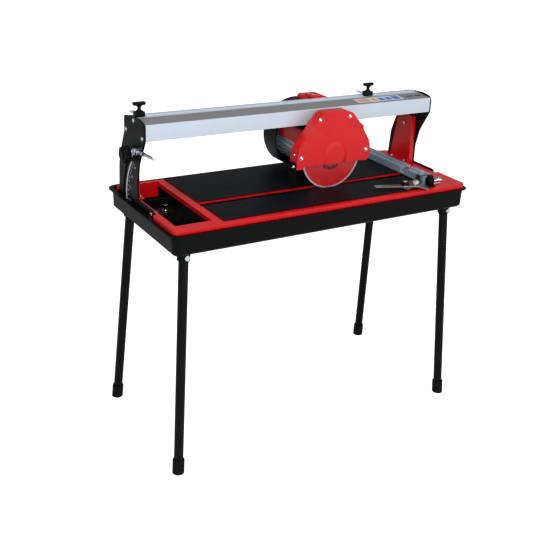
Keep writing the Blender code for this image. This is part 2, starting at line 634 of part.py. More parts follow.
# ---------------------------------------------------------------- stop rail and angle stop
def make_stop_rail(stand):
    """The grooved aluminium rail that tiles are pushed against, its clamp and the cut-line pointer."""
    x0, x1, z0, z1 = STOP_RAIL_X0, STOP_RAIL_X1, STOP_RAIL_Z0, STOP_RAIL_Z1
    middle = (x0 + x1) / 2
    section = [(x0, z0), (x1, z0), (x1, z1), (middle + 0.004, z1), (middle + 0.004, z1 - 0.005),
               (middle - 0.004, z1 - 0.005), (middle - 0.004, z1), (x0, z1)]
    rail = prism("stop_rail", section, "Y", STOP_RAIL_Y0, STOP_RAIL_Y0 + STOP_RAIL_LENGTH)
    notch = box("blade_notch", (x0 - 0.01, CUT_Y - 0.008, z0 + 0.004), (x1 + 0.01, CUT_Y + 0.008, z1 + 0.01))
    cut(rail, notch)
    put(rail, stand, "aluminium")
    wide, deep, high = CLAMP_SIZE
    clamp = prism("stop_rail_clamp", rectangle(x0 + 0.002, STOP_RAIL_Y0 - GAP - deep, x0 + 0.002 + wide,
                                               STOP_RAIL_Y0 - GAP, 0.006), "Z", z0, z0 + high)
    put(clamp, stand, "black_plastic")
    pointer = box("cut_pointer", (x0 + 0.001, CUT_Y - 0.024, z1 + GAP), (x0 + 0.013, CUT_Y - 0.010, z1 + 0.003))
    put(pointer, stand, "red_plastic")


def star(radius, depth, lobes, u=0.0, v=0.0):
    """Outline of a knob with shallow lobes."""
    count = lobes * 4
    points = []
    for index in range(count):
        reach = radius - depth * (0.5 - 0.5 * math.cos(2 * math.pi * index / 4))
        turn = 2 * math.pi * index / count
        points.append((u + reach * math.cos(turn), v + reach * math.sin(turn)))
    return points


def make_angle_stop(stand):
    """A saddle on the stop rail with a protractor plate, a swinging arm and their knobs."""
    x0, x1, z0, z1 = STOP_RAIL_X0, STOP_RAIL_X1, STOP_RAIL_Z0, STOP_RAIL_Z1
    pivot = (x0 + ANGLE_PIVOT[0] + 0.020, STOP_RAIL_Y0 + ANGLE_PIVOT[1], z0)
    slide = body("angle_stop_slide_axis", (x0, STOP_RAIL_Y0, z0), stand)
    front = STOP_RAIL_Y0 + 0.007
    back = front + SADDLE_LENGTH
    low = z0 + 0.0015
    saddle = box("angle_stop_slide", (x0 - 0.0095, front, z1 + GAP),
                 ((x0 + x1) / 2 + 0.0035, back, z1 + 0.0033))
    cheek = box("cheek", (x0 - 0.0095, front, low), (x0 - GAP, back, z1 + 0.002))
    disc = prism("protractor", arc_band(pivot[0], pivot[1], 0.004, ANGLE_RADIUS, -60, 200, 20), "Z",
                 low, low + 0.003)
    bridge = box("bridge", (pivot[0] - 0.004, pivot[1] + 0.006, low), (x0 - 0.004, back, low + 0.003))
    key = box("slide_key", ((x0 + x1) / 2 - 0.0035, front, z1 - 0.004), ((x0 + x1) / 2 + 0.0035, back, z1 + 0.001))
    join(saddle, cheek, disc, bridge, key)
    put(saddle, slide, "steel")
    lock_x = x0 + 0.001
    lock = body("slide_knob_axis", (lock_x, (front + back) / 2, z1), slide)
    knob = prism("slide_knob", star(SLIDE_KNOB_RADIUS, 0.0012, 6, lock_x, (front + back) / 2), "Z",
                 z1 + 0.0033 + GAP, z1 + 0.014)
    put(knob, lock, "chrome")
    swing = body("angle_arm_axis", pivot, slide)
    turn = math.radians(ANGLE_ARM_REST)
    half = ANGLE_ARM_WIDTH / 2
    tip = ANGLE_ARM_LENGTH
    flat = rounded([(-0.016, -half, 0.008), (tip, -half, half * 0.98), (tip, half, half * 0.98),
                    (-0.016, half, 0.008)])
    outline = [(pivot[0] + u * math.cos(turn) - v * math.sin(turn),
                pivot[1] + u * math.sin(turn) + v * math.cos(turn)) for u, v in flat]
    arm_low = low + 0.003 + GAP
    arm = prism("angle_stop_arm", outline, "Z", arm_low, arm_low + 0.004)
    cut(arm, rod("arm_bore", pivot, (0, 0, 1), 0.0033, -0.02, 0.04, 12))
    put(arm, swing, "steel")
    screw = body("angle_knob_axis", pivot, swing)
    stem = turned("angle_stop_knob", [(0, 0.0015), (0.003, 0.0015), (0.003, arm_low + 0.004 + GAP - z0),
                                      (0.0085, arm_low + 0.004 + GAP - z0), (0.0105, 0.012), (0.0105, 0.022),
                                      (0.008, 0.0245), (0, 0.0245)], pivot, (0, 0, 1), 16)
    put(stem, screw, "chrome", smooth=True)


# ---------------------------------------------------------------- head: arms, rail
ARM_OUTLINE = (
    # (y, z, corner radius) from the cut line on the tile plates: end plate, back edge, foot, nose, front edge
    (0.0410, 0.1710, 0.004), (0.0410, 0.2190, 0.016), (0.0800, 0.2245, 0.030), (0.1300, 0.2220, 0.020),
    (0.1740, 0.2130, 0.008), (0.1740, 0.1700, 0.030), (0.1930, 0.1300, 0.050), (0.2140, 0.0740, 0.060),
    (0.2180, 0.0100, 0.050), (0.2180, -0.0270, 0.008), (0.0500, -0.0270, 0.030), (-0.0120, -0.0220, 0.011),
    (-0.0120, 0.0020, 0.011), (0.0895, 0.0020, 0.006), (0.0905, 0.0520, 0.050), (0.0780, 0.1060, 0.050),
    (0.0570, 0.1430, 0.030),
)


def make_arms(head):
    """The black side arms: end plates of the rail that turn on the pivot bolts."""
    outline = rounded([(CUT_Y + y, TABLE_TOP + z, radius) for y, z, radius in ARM_OUTLINE], 20.0)
    start = TILT_REST - TILT_RANGE - ARC_OVERRUN
    end = TILT_REST + ARC_OVERRUN
    slot = arc_band(CUT_Y, PIVOT_Z, TILT_RADIUS - ARC_HALF, TILT_RADIUS + ARC_HALF, start, end, 12)
    for name, side in (("arm_left", -1), ("arm_right", 1)):
        faces = sorted((side * ARM_INNER, side * ARM_OUTER))
        arm = prism(name, outline, "X", *faces)
        reach = (ARM_INNER - 0.01, ARM_OUTER + 0.01)
        tools = [prism("arc_slot", slot, "X", *sorted((side * reach[0], side * reach[1]))),
                 rod("pivot_bore", (0, CUT_Y, PIVOT_Z), (side, 0, 0), BOLT_RADIUS + GAP, *reach)]
        if side < 0:
            tools.append(rod("lever_bore", (0, CUT_Y + LEVER_AT[0], TABLE_TOP + LEVER_AT[1]), (side, 0, 0),
                             STUD_RADIUS + GAP, *reach))
        cut(arm, *tools)
        put(arm, head, "black_paint")
    scale = prism("angle_scale", arc_band(CUT_Y, PIVOT_Z, *SCALE_RADII, *SCALE_ANGLES, 12), "X",
                  -ARM_OUTER - GAP - SCALE_THICKNESS, -ARM_OUTER - GAP)
    put(scale, head, "white_print")


def rail_top(y):
    """Height of the rail's upper face at a place behind its front face."""
    if y <= RAIL_RIDGE_Y:
        return RAIL_Z + RAIL_FACE + (RAIL_RIDGE - RAIL_FACE) * y / RAIL_RIDGE_Y
    return RAIL_Z + RAIL_RIDGE + (RAIL_BACK_FACE - RAIL_RIDGE) * (y - RAIL_RIDGE_Y) / (RAIL_DEPTH - RAIL_RIDGE_Y)


def make_rail(head):
    """The hollow aluminium guide rail: a slot below for the carriage and a groove above for the stops."""
    wall = RAIL_WALL
    outline = [(0, RAIL_Z), (RAIL_DEPTH, RAIL_Z), (RAIL_DEPTH, rail_top(RAIL_DEPTH)),
               (RAIL_RIDGE_Y, RIDGE_Z), (GROOVE[1], rail_top(GROOVE[1])),
               (GROOVE[1], rail_top(GROOVE[1]) - GROOVE_DEPTH), (GROOVE[0], rail_top(GROOVE[1]) - GROOVE_DEPTH),
               (GROOVE[0], rail_top(GROOVE[0])), (0, rail_top(0))]
    rail = prism("guide_rail", [(RAIL_Y + y, z) for y, z in outline], "X", -RAIL_HALF, RAIL_HALF)
    floor = RAIL_Z + wall
    roof = rail_top(RAIL_CHAMBER[0]) - wall
    chamber = [(RAIL_CHAMBER[0], floor), (RAIL_SLOT[0], floor), (RAIL_SLOT[0], RAIL_Z - 0.01),
               (RAIL_SLOT[1], RAIL_Z - 0.01), (RAIL_SLOT[1], floor), (RAIL_CHAMBER[1], floor),
               (RAIL_CHAMBER[1], rail_top(RAIL_CHAMBER[1]) - wall), (RAIL_CHAMBER[1] - 0.012, roof - 0.0045),
               (RAIL_CHAMBER[0] + 0.02, roof - 0.0045), (RAIL_CHAMBER[0], roof - 0.002)]
    front = [(wall, floor), (RAIL_CHAMBER[0] - wall, floor),
             (RAIL_CHAMBER[0] - wall, rail_top(RAIL_CHAMBER[0] - wall) - wall), (wall, rail_top(wall) - wall)]
    back = [(RAIL_CHAMBER[1] + wall, floor), (RAIL_DEPTH - wall, floor),
            (RAIL_DEPTH - wall, rail_top(RAIL_DEPTH - wall) - wall),
            (RAIL_CHAMBER[1] + wall, rail_top(RAIL_CHAMBER[1] + wall) - wall)]
    tools = [prism("chamber", [(RAIL_Y + y, z) for y, z in shape], "X", -RAIL_HALF - 0.01, RAIL_HALF + 0.01)
             for shape in (chamber, front, back)]
    cut(rail, *tools)
    put(rail, head, "aluminium")


def make_stop(head, name, middle):
    """A stop block that slides in the rail's groove, and its tee knob."""
    half = STOP_LENGTH / 2
    seat = RIDGE_Z + GAP
    groove_y = RAIL_Y + (GROOVE[0] + GROOVE[1]) / 2
    slide = body(name + "_axis", (middle, groove_y, seat), head)
    front, back = groove_y - 0.010, groove_y + 0.010
    block = box(name, (middle - half, front, seat), (middle + half, back, seat + STOP_HEIGHT))
    tongue = box("stop_tongue", (middle - half / 2, groove_y, seat + STEP),
                 (middle + half / 2, back + STOP_TAIL, seat + STEP + STOP_TONGUE))
    key_half = (GROOVE[1] - GROOVE[0]) / 2 - GAP
    key_low = rail_top(GROOVE[1]) - GROOVE_DEPTH + GAP
    key = box("stop_key", (middle - half, groove_y - key_half, key_low),
              (middle + half, groove_y + key_half, seat + 0.001))
    join(block, key, tongue)
    put(block, slide, "black_plastic")
    top = seat + STOP_HEIGHT + GAP
    turn = body(name + "_knob_axis", (middle, groove_y, top), slide)
    knob = rod(name + "_knob", (middle, groove_y, top), (0, 0, 1), STEM_RADIUS, 0.0, STEM_HEIGHT + 0.002, 12)
    half_x, half_y = TEE_SIZE[0] / 2, TEE_SIZE[1] / 2
    tee = prism("tee", rounded([(middle - half_x, top + STEM_HEIGHT, 0.003),
                                (middle + half_x, top + STEM_HEIGHT, 0.003),
                                (middle + half_x, top + STEM_HEIGHT + TEE_SIZE[2], 0.005),
                                (middle - half_x, top + STEM_HEIGHT + TEE_SIZE[2], 0.005)], 30),
                "Y", groove_y - half_y, groove_y + half_y)
    join(knob, tee)
    put(knob, turn, "black_plastic")


# ---------------------------------------------------------------- clamps
def make_tilt_knob(stand, name, side):
    """A clamping knob on its stud, which passes through the arm's curved slot into the bracket."""
    at = (0, STUD_Y, STUD_Z)
    axis = body(name + "_axis", (side * ARM_OUTER, STUD_Y, STUD_Z), stand)
    seat = ARM_OUTER + GAP
    washer_top = seat + WASHER_THICKNESS
    end = washer_top + KNOB_LENGTH
    start = BRACKET_INNERS[side] - 0.005
    profile = [(0, start), (STUD_RADIUS, start), (STUD_RADIUS, seat),
               (WASHER_RADIUS, seat), (WASHER_RADIUS, washer_top), (0.010, washer_top), (0.010, washer_top + 0.003),
               (0.010, washer_top + 0.003), (KNOB_RADIUS - 0.003, washer_top + 0.003),
               (KNOB_RADIUS, washer_top + 0.006), (KNOB_RADIUS, end - 0.005), (KNOB_RADIUS - 0.006, end), (0, end)]
    profile = [point for index, point in enumerate(profile) if index == 0 or point != profile[index - 1]]
    knob = turned(name, profile, at, (side, 0, 0), 24)
    put(knob, axis, "black_plastic", smooth=True)


def make_lock_lever(head):
    """The lever at the left arm: a chromed rod in a black collar on a nut."""
    at = Vector((0, CUT_Y + LEVER_AT[0], TABLE_TOP + LEVER_AT[1]))
    axis = body("lock_lever_axis", (-ARM_OUTER, at.y, at.z), head)
    seat = ARM_OUTER + GAP
    lever = turned("lock_lever", [(0, ARM_INNER - 0.0002), (STUD_RADIUS, ARM_INNER - 0.0002), (STUD_RADIUS, seat),
                                  (0.0095, seat), (0.0095, seat + 0.009), (0.007, seat + 0.011), (0, seat + 0.011)],
                   at, (-1, 0, 0), 12)
    start = Vector((-seat - 0.0055, at.y, at.z))
    slope = Vector((0, -1.0, 0.09)).normalized()
    collar = rod("collar", start, slope, 0.0054, 0.006, 0.045, 12)
    bar = rod("bar", start, slope, LEVER_RADIUS, 0.04, LEVER_LENGTH, 12)
    join(lever, collar, bar)
    put(lever, axis, "chrome")


# ---------------------------------------------------------------- saw head on its carriage
GUARD_OUTLINE = (
    # (x, z, corner radius) from the blade's centre
    (-0.129, -0.028, 0.004), (-0.108, -0.028, 0.000), (-0.104, -0.022, 0.000), (0.080, -0.022, 0.000),
    (0.117, -0.025, 0.010), (0.125, -0.008, 0.010), (0.125, 0.008, 0.020), (0.118, 0.036, 0.010),
    (0.096, 0.068, 0.000), (0.093, 0.082, 0.000), (0.079, 0.092, 0.000), (0.052, 0.122, 0.020),
    (0.030, 0.129, 0.020), (-0.046, 0.129, 0.024), (-0.073, 0.100, 0.020), (-0.104, 0.054, 0.010),
    (-0.124, 0.034, 0.015), (-0.129, 0.006, 0.020),
)


def make_guard(carriage):
    """The red blade guard: a back shell with a folded rim, a screwed front cover and a splash flap."""
    front = CUT_Y - GUARD_AHEAD
    back = CUT_Y + GUARD_BEHIND
    sheet = GUARD_SHEET
    corners = [(BLADE_X + x, BLADE_Z + z, radius) for x, z, radius in GUARD_OUTLINE]
    outline = rounded(corners)
    shell = prism("guard_shell", outline, "Y", front + sheet + GAP, back)
    factor = 1.0 - sheet / 0.105
    inner = [(BLADE_X + (x - BLADE_X) * factor, BLADE_Z + (z - BLADE_Z) * factor) for x, z in outline]
    cut(shell, prism("guard_hollow", inner, "Y", front - 0.01, back - sheet))
    low = min(z for _, z in outline)
    mouth = box("guard_mouth", (BLADE_X - 0.124, front - 0.01, low - 0.01),
                (BLADE_X + 0.112, back - sheet, BLADE_Z - 0.020))
    cut(shell, mouth, rod("shaft_hole", (BLADE_X, CUT_Y, BLADE_Z), (0, 1, 0), 0.018, -0.03, 0.03, 24))
    put(shell, carriage, "red_paint")
    cover = prism("guard_cover", outline, "Y", front, front + sheet)
    put(cover, carriage, "red_paint")
    left = BLADE_X - 0.129 - GAP
    low = TABLE_TOP + FLAP_CLEARANCE
    flap = prism("splash_flap", [(back - 0.001, low), (CUT_Y + FLAP_HEEL, low),
                                 (front + 0.001, low + GUARD_AHEAD + FLAP_HEEL - 0.001),
                                 (front + 0.001, BLADE_Z - 0.008), (back - 0.001, BLADE_Z - 0.008)],
                 "X", left - FLAP_THICKNESS, left)
    put(flap, carriage, "rubber")


def make_truck(carriage):
    """The carriage plate with its hanger and axles, and the bracket that the guard bolts to."""
    low = TRUCK_TOP - TRUCK_PLATE
    half = TRUCK_LENGTH / 2
    front = CUT_Y + GUARD_BEHIND + GAP
    truck = box("carriage_truck", (BLADE_X - half, front + 0.030, low), (BLADE_X + half, HOUSING_Y0 - GAP, TRUCK_TOP))
    tongue = box("tongue", (BLADE_X - 0.030, front, low - 0.005), (BLADE_X + 0.030, front + 0.032, TRUCK_TOP - 0.0005))
    wheel_z = RAIL_Z + RAIL_WALL + WHEEL_RADIUS + GAP
    hanger = box("hanger", (BLADE_X - half + 0.005, HANGER_Y - HANGER_WIDTH / 2, TRUCK_TOP - 0.001),
                 (BLADE_X + half - 0.005, HANGER_Y + HANGER_WIDTH / 2, wheel_z + AXLE_RADIUS + 0.002))
    axles = [rod("axle", (BLADE_X + x, HANGER_Y, wheel_z), (0, 1, 0), AXLE_RADIUS,
                 -HANGER_WIDTH / 2 - WHEEL_WIDTH - 0.0015, HANGER_WIDTH / 2 + WHEEL_WIDTH + 0.0015, 12)
             for x in (-WHEEL_BASE / 2, WHEEL_BASE / 2)]
    join(truck, tongue, hanger, *axles)
    put(truck, carriage, "black_paint")
    for name, side_x, side_y in (("front_left", -1, -1), ("front_right", 1, -1),
                                 ("back_left", -1, 1), ("back_right", 1, 1)):
        at = (BLADE_X + side_x * WHEEL_BASE / 2, HANGER_Y, wheel_z)
        axis = body("wheel_" + name + "_axis", at, carriage)
        near = HANGER_WIDTH / 2 + 0.001
        far = near + WHEEL_WIDTH
        bore = AXLE_RADIUS + 0.0001
        wheel = turned("wheel_" + name, [(bore, near), (WHEEL_RADIUS, near), (WHEEL_RADIUS, far), (bore, far)],
                       at, (0, side_y, 0), 24)
        put(wheel, axis, "steel", smooth=True)


def fin_outline(count):
    """Outline of the finned motor casing."""
    points = []
    for index in range(count):
        turn = 2 * math.pi * index / count
        for share, reach in ((0.0, MOTOR_RADIUS), (0.42, MOTOR_RADIUS), (0.5, MOTOR_RADIUS - FIN_DEPTH),
                             (0.92, MOTOR_RADIUS - FIN_DEPTH)):
            angle = turn + 2 * math.pi * share / count
            points.append((BLADE_X + reach * math.cos(angle), BLADE_Z + reach * math.sin(angle)))
    return points


def flat_bottomed(radius, flat, y):
    """A ring round the rear cover's middle at one depth, with a flat underside."""
    return [(x, y, max(z, flat)) for x, z in circle(COVER_X, COVER_Z, radius, 44)]


def make_rear_cover():
    """The round cup behind the motor, with a rounded edge and a flat underside."""
    end = COVER_Y0 + COVER_LENGTH
    flat = TABLE_TOP + COVER_CLEARANCE
    inside = COVER_RADIUS - COVER_WALL
    floor = end - COVER_WALL
    return loft("rear_cover", [
        flat_bottomed(COVER_RADIUS - 0.014, flat + 0.002, end),
        flat_bottomed(COVER_RADIUS - 0.004, flat + 0.0005, end - 0.005),
        flat_bottomed(COVER_RADIUS, flat, end - 0.014),
        flat_bottomed(COVER_RADIUS, flat, COVER_Y0),
        flat_bottomed(inside, flat + COVER_WALL, COVER_Y0),
        flat_bottomed(inside, flat + COVER_WALL, end - 0.015),
        flat_bottomed(inside - 0.010, flat + 0.005, floor),
    ])


def make_motor(carriage):
    """The finned motor casing, the red housing around it, the black rear cover and the switch."""
    motor = prism("motor_body", fin_outline(FIN_COUNT), "Y", MOTOR_Y0, HOUSING_Y1)
    pad = box("motor_pad", (BLADE_X - 0.030, MOTOR_Y0 + 0.030, BLADE_Z + MOTOR_RADIUS - 0.010),
              (BLADE_X + 0.030, HOUSING_Y0 - 0.010, TRUCK_TOP - TRUCK_PLATE - GAP))
    join(motor, pad)
    centre = (BLADE_X, 0, BLADE_Z)
    cut(motor, rod("stator_bore", centre, (0, 1, 0), MOTOR_BORE, MOTOR_Y0 + MOTOR_END_WALL, HOUSING_Y1 + 0.01),
        rod("shaft_bore", centre, (0, 1, 0), SHAFT_RADIUS + GAP, MOTOR_Y0 - 0.01, HOUSING_Y1))
    put(motor, carriage, "cast_aluminium")
    roof = TRUCK_TOP - TRUCK_PLATE - GAP
    hood_y0 = MOTOR_Y0 + HOOD_START
    side_x = MOTOR_RADIUS + 0.004
    low_z = BLADE_Z + 0.016
    housing = prism("carriage_housing",
                    rounded([(BLADE_X - side_x, low_z, 0), (BLADE_X + side_x, low_z, 0),
                             (BLADE_X + side_x, roof, 0.012), (BLADE_X - side_x, roof, 0.012)]),
                    "Y", hood_y0, HOUSING_Y0 + HOUSING_SHEET)
    riser = box("riser", (BLADE_X + 0.018, HOUSING_Y0, roof - 0.020),
                (BLADE_X + 0.066, HOUSING_Y0 + HOUSING_SHEET, BLADE_Z + 0.120))
    saddle = prism("switch_saddle",
                   rounded([(BLADE_X + 0.018, BLADE_Z + 0.080, 0), (BLADE_X + 0.120, BLADE_Z + 0.040, 0),
                            (BLADE_X + 0.120, BLADE_Z + 0.108, 0.010), (BLADE_X + 0.080, BLADE_Z + 0.127, 0.030),
                            (BLADE_X + 0.018, BLADE_Z + 0.127, 0.008)]),
                   "Y", HOUSING_Y0, HOUSING_Y1)
    lug_low = RIDGE_Z - 0.003
    lug_x = (BLADE_X + 0.020, BLADE_X + 0.034)
    lug = box("stop_lug", (lug_x[0], HOUSING_Y0 - 0.027, lug_low), (lug_x[1], HOUSING_Y0 + 0.012, lug_low + 0.006))
    neck = box("lug_neck", (lug_x[0], HOUSING_Y0 + 0.0005, BLADE_Z + 0.115), (lug_x[1], HOUSING_Y0 + 0.0115, lug_low + 0.001))
    join(housing, riser, saddle, lug, neck)
    pad_room = box("pad_room", (BLADE_X - 0.0305, MOTOR_Y0 + 0.0295, BLADE_Z), (BLADE_X + 0.0305, HOUSING_Y0 - 0.0095,
                                                                               roof + 0.002))
    cover_room = rod("cover_room", (COVER_X, 0, COVER_Z), (0, 1, 0), COVER_RADIUS + GAP, COVER_Y0 - GAP,
                     HOUSING_Y1 + 0.01, 44)
    cut(housing, rod("motor_room", centre, (0, 1, 0), MOTOR_RADIUS + GAP, hood_y0 - 0.01, HOUSING_Y1 + 0.01, 48),
        pad_room, cover_room)
    put(housing, carriage, "red_paint")
    put(make_rear_cover(), carriage, "black_plastic", smooth=True)
    face = BLADE_X + 0.120 + GAP
    switch_z = BLADE_Z + 0.078
    switch_y = (HOUSING_Y0 + HOUSING_Y1) / 2
    half_y, half_z = SWITCH_SIZE[1] / 2, SWITCH_SIZE[2] / 2
    switch = box("switch_box", (face, switch_y - half_y, switch_z - half_z),
                 (face + SWITCH_SIZE[0], switch_y + half_y, switch_z + half_z))
    seat = face + SWITCH_SIZE[0]
    wells = [rod("well", (0, switch_y, switch_z + side * BUTTON_SPACING / 2), (1, 0, 0), BUTTON_RADIUS + GAP,
                 seat - 0.010, seat + 0.01) for side in (-1, 1)]
    cut(switch, *wells)
    put(switch, carriage, "black_plastic")
    for name, side, kind in (("button_on", 1, "green_plastic"), ("button_off", -1, "red_plastic")):
        at = (seat, switch_y, switch_z + side * BUTTON_SPACING / 2)
        axis = body(name + "_axis", at, carriage)
        button = rod(name, (0, at[1], at[2]), (1, 0, 0), BUTTON_RADIUS, seat - 0.006, seat + BUTTON_STAND, 16)
        put(button, axis, kind, smooth=True)


def make_blade(carriage):
    """The diamond blade between its flanges on the motor's spindle."""
    spin = body("blade_axis", (BLADE_X, CUT_Y, BLADE_Z), carriage)
    centre = (BLADE_X, 0, BLADE_Z)
    half = BLADE_THICKNESS / 2
    blade = turned("blade", [(BLADE_BORE, CUT_Y - half), (BLADE_RADIUS, CUT_Y - half),
                             (BLADE_RADIUS, CUT_Y + half), (BLADE_BORE, CUT_Y + half)], centre, (0, 1, 0), 72)
    put(blade, spin, "red_paint", smooth=True)
    bore = SPINDLE_RADIUS + 0.0002
    seat = CUT_Y + half + GAP
    inner = turned("inner_flange", [(bore, CUT_Y), (BLADE_BORE - 0.0002, CUT_Y), (BLADE_BORE - 0.0002, seat),
                                    (FLANGE_RADIUS, seat), (FLANGE_RADIUS, seat + FLANGE_THICKNESS),
                                    (bore, seat + FLANGE_THICKNESS)], centre, (0, 1, 0), 24)
    put(inner, spin, "steel", smooth=True)
    face = CUT_Y - half - GAP
    outer = turned("outer_flange", [(bore, face - FLANGE_THICKNESS), (FLANGE_RADIUS, face - FLANGE_THICKNESS),
                                    (FLANGE_RADIUS, face), (bore, face)], centre, (0, 1, 0), 24)
    put(outer, spin, "steel", smooth=True)
    nut_face = face - FLANGE_THICKNESS - GAP
    nut = prism("spindle_nut", circle(BLADE_X, BLADE_Z, NUT_RADIUS, 6), "Y", nut_face - NUT_LENGTH, nut_face)
    cut(nut, rod("nut_bore", centre, (0, 1, 0), bore, nut_face - 0.02, nut_face + 0.01))
    put(nut, spin, "chrome")
    shoulder = seat + FLANGE_THICKNESS + GAP
    rotor = MOTOR_Y0 + MOTOR_END_WALL + 0.002
    end = HOUSING_Y1 - 0.010
    spindle = turned("motor_spindle", [(0, nut_face - NUT_LENGTH + 0.001),
                                       (SPINDLE_RADIUS, nut_face - NUT_LENGTH + 0.001),
                                       (SPINDLE_RADIUS, shoulder), (SHAFT_RADIUS, shoulder), (SHAFT_RADIUS, rotor),
                                       (ROTOR_RADIUS, rotor), (ROTOR_RADIUS, end), (0, end)], centre, (0, 1, 0), 24)
    put(spindle, spin, "steel", smooth=True)


# ---------------------------------------------------------------- the whole machine
for old in list(bpy.data.objects):
    bpy.data.objects.remove(old)

stand_body = body("stand", (0, 0, 0))
make_table_frame(stand_body)
make_plates(stand_body)
make_tray(stand_body)
make_legs(stand_body)
make_pump_and_plug(stand_body)
make_brackets(stand_body)
make_pivot_bolts(stand_body)
make_stop_rail(stand_body)
make_angle_stop(stand_body)
make_tilt_knob(stand_body, "tilt_knob_left", -1)
make_tilt_knob(stand_body, "tilt_knob_right", 1)

head_body = body("head", (0, CUT_Y, PIVOT_Z), stand_body)
make_arms(head_body)
make_rail(head_body)
make_stop(head_body, "stop_left", -RAIL_HALF + STOP_LEFT_INSET + STOP_LENGTH / 2 - 0.011)
make_stop(head_body, "stop_right", STOP_RIGHT_X)
make_lock_lever(head_body)

carriage_body = body("carriage", (BLADE_X, HANGER_Y, RAIL_Z), head_body)
make_truck(carriage_body)
make_guard(carriage_body)
make_motor(carriage_body)
make_blade(carriage_body)
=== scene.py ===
"""Looks of the bridge tile cutter: finishes, fasteners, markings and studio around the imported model.

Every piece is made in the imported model's own frame, in metres: +X along the guide rail, +Y away from the
operator, +Z up, with the origin on the floor under the table.
"""

import json
import logging
import math
from dataclasses import dataclass, field
from enum import Enum
from typing import Any, Iterable, Optional, Sequence

import bmesh
import bpy
from mathutils import Matrix, Vector

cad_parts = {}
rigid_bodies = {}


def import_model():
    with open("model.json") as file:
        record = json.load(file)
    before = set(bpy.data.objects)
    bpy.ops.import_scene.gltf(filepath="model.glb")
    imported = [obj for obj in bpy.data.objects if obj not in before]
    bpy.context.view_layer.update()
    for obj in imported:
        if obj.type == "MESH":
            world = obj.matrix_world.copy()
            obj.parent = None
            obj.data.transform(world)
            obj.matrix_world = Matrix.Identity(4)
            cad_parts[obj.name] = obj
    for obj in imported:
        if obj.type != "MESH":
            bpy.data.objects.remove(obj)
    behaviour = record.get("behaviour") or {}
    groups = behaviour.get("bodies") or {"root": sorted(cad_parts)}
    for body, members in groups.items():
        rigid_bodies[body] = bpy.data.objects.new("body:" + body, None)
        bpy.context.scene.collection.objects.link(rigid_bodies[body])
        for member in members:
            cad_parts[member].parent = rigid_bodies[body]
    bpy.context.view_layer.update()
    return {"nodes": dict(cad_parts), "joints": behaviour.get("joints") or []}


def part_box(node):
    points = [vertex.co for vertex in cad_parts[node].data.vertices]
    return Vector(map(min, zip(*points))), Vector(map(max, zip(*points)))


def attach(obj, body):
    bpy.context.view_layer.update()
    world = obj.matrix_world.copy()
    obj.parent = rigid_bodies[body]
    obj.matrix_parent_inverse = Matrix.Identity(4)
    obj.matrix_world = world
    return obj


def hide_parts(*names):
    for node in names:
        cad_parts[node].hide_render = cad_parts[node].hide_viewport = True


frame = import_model()
LOG = logging.getLogger("tile_cutter")
Point = tuple[float, float, float]
Mesh = bmesh.types.BMesh
Piece = bpy.types.Object
Tree = bpy.types.NodeTree
Socket = bpy.types.NodeSocket

PATCH_MM = 35.0           # width of the patches of more and less gloss
BROAD_MM = 90.0           # width of the patches of lighter and darker colour
LACQUER_ROUGHNESS = 0.12  # of the clear coat
WELD = 1e-6               # corners of a new mesh closer than this, in metres, are one
NODE_WELD = 2e-6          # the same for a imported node's loose triangles
SMOOTH_BELOW = 34.0       # degrees: an edge is shaded smooth below this
BREAK_ABOVE = 31.0        # degrees: an edge is sharp enough to be broken above this
FLAT_BELOW = 0.8          # degrees: two faces are one flat face below this
LEFT, RIGHT, FRONT, BACK, UP = (-1, 0, 0), (1, 0, 0), (0, -1, 0), (0, 1, 0), (0, 0, 1)
CORNERS = ("front_left", "front_right", "back_left", "back_right")
SIDES = (("left", -1.0), ("right", 1.0))
WHITE = "#FFFFFF"


# ---------------------------------------------------------------- colour and shader nodes
def linear(code: str) -> tuple[float, float, float, float]:
    """Turn an sRGB hex colour into the linear values that shaders take.

    Args:
        code: Six hex digits, with or without a leading hash sign.

    Returns:
        Linear red, green and blue with an alpha of one.
    """
    digits = code.lstrip("#")
    shares = [int(digits[i:i + 2], 16) / 255 for i in (0, 2, 4)]
    curve = [s / 12.92 if s <= 0.04045 else ((s + 0.055) / 1.055) ** 2.4 for s in shares]
    return (curve[0], curve[1], curve[2], 1.0)


def add_node(tree: Tree, kind: str, inputs: Optional[dict[Any, Any]] = None,
             **settings: Any) -> bpy.types.Node:
    """Add one shader node with its settings, values and links.

    Args:
        tree: Node tree that gets the node.
        kind: Node type name.
        inputs: Input name or number to a value, or to the output socket that feeds it.
        **settings: Properties of the node itself.

    Returns:
        The new node.
    """
    node = tree.nodes.new(kind)
    for key, value in settings.items():
        setattr(node, key, value)
    for key, value in (inputs or {}).items():
        if isinstance(value, Socket):
            tree.links.new(value, node.inputs[key])
        else:
            node.inputs[key].default_value = value
    return node


class Grain(Enum):
    """Which way the fine texture of a surface runs."""

    EVEN = (1.0, 1.0, 1.0)
    ALONG_X = (0.012, 1.0, 1.0)
    ALONG_Y = (1.0, 0.012, 1.0)


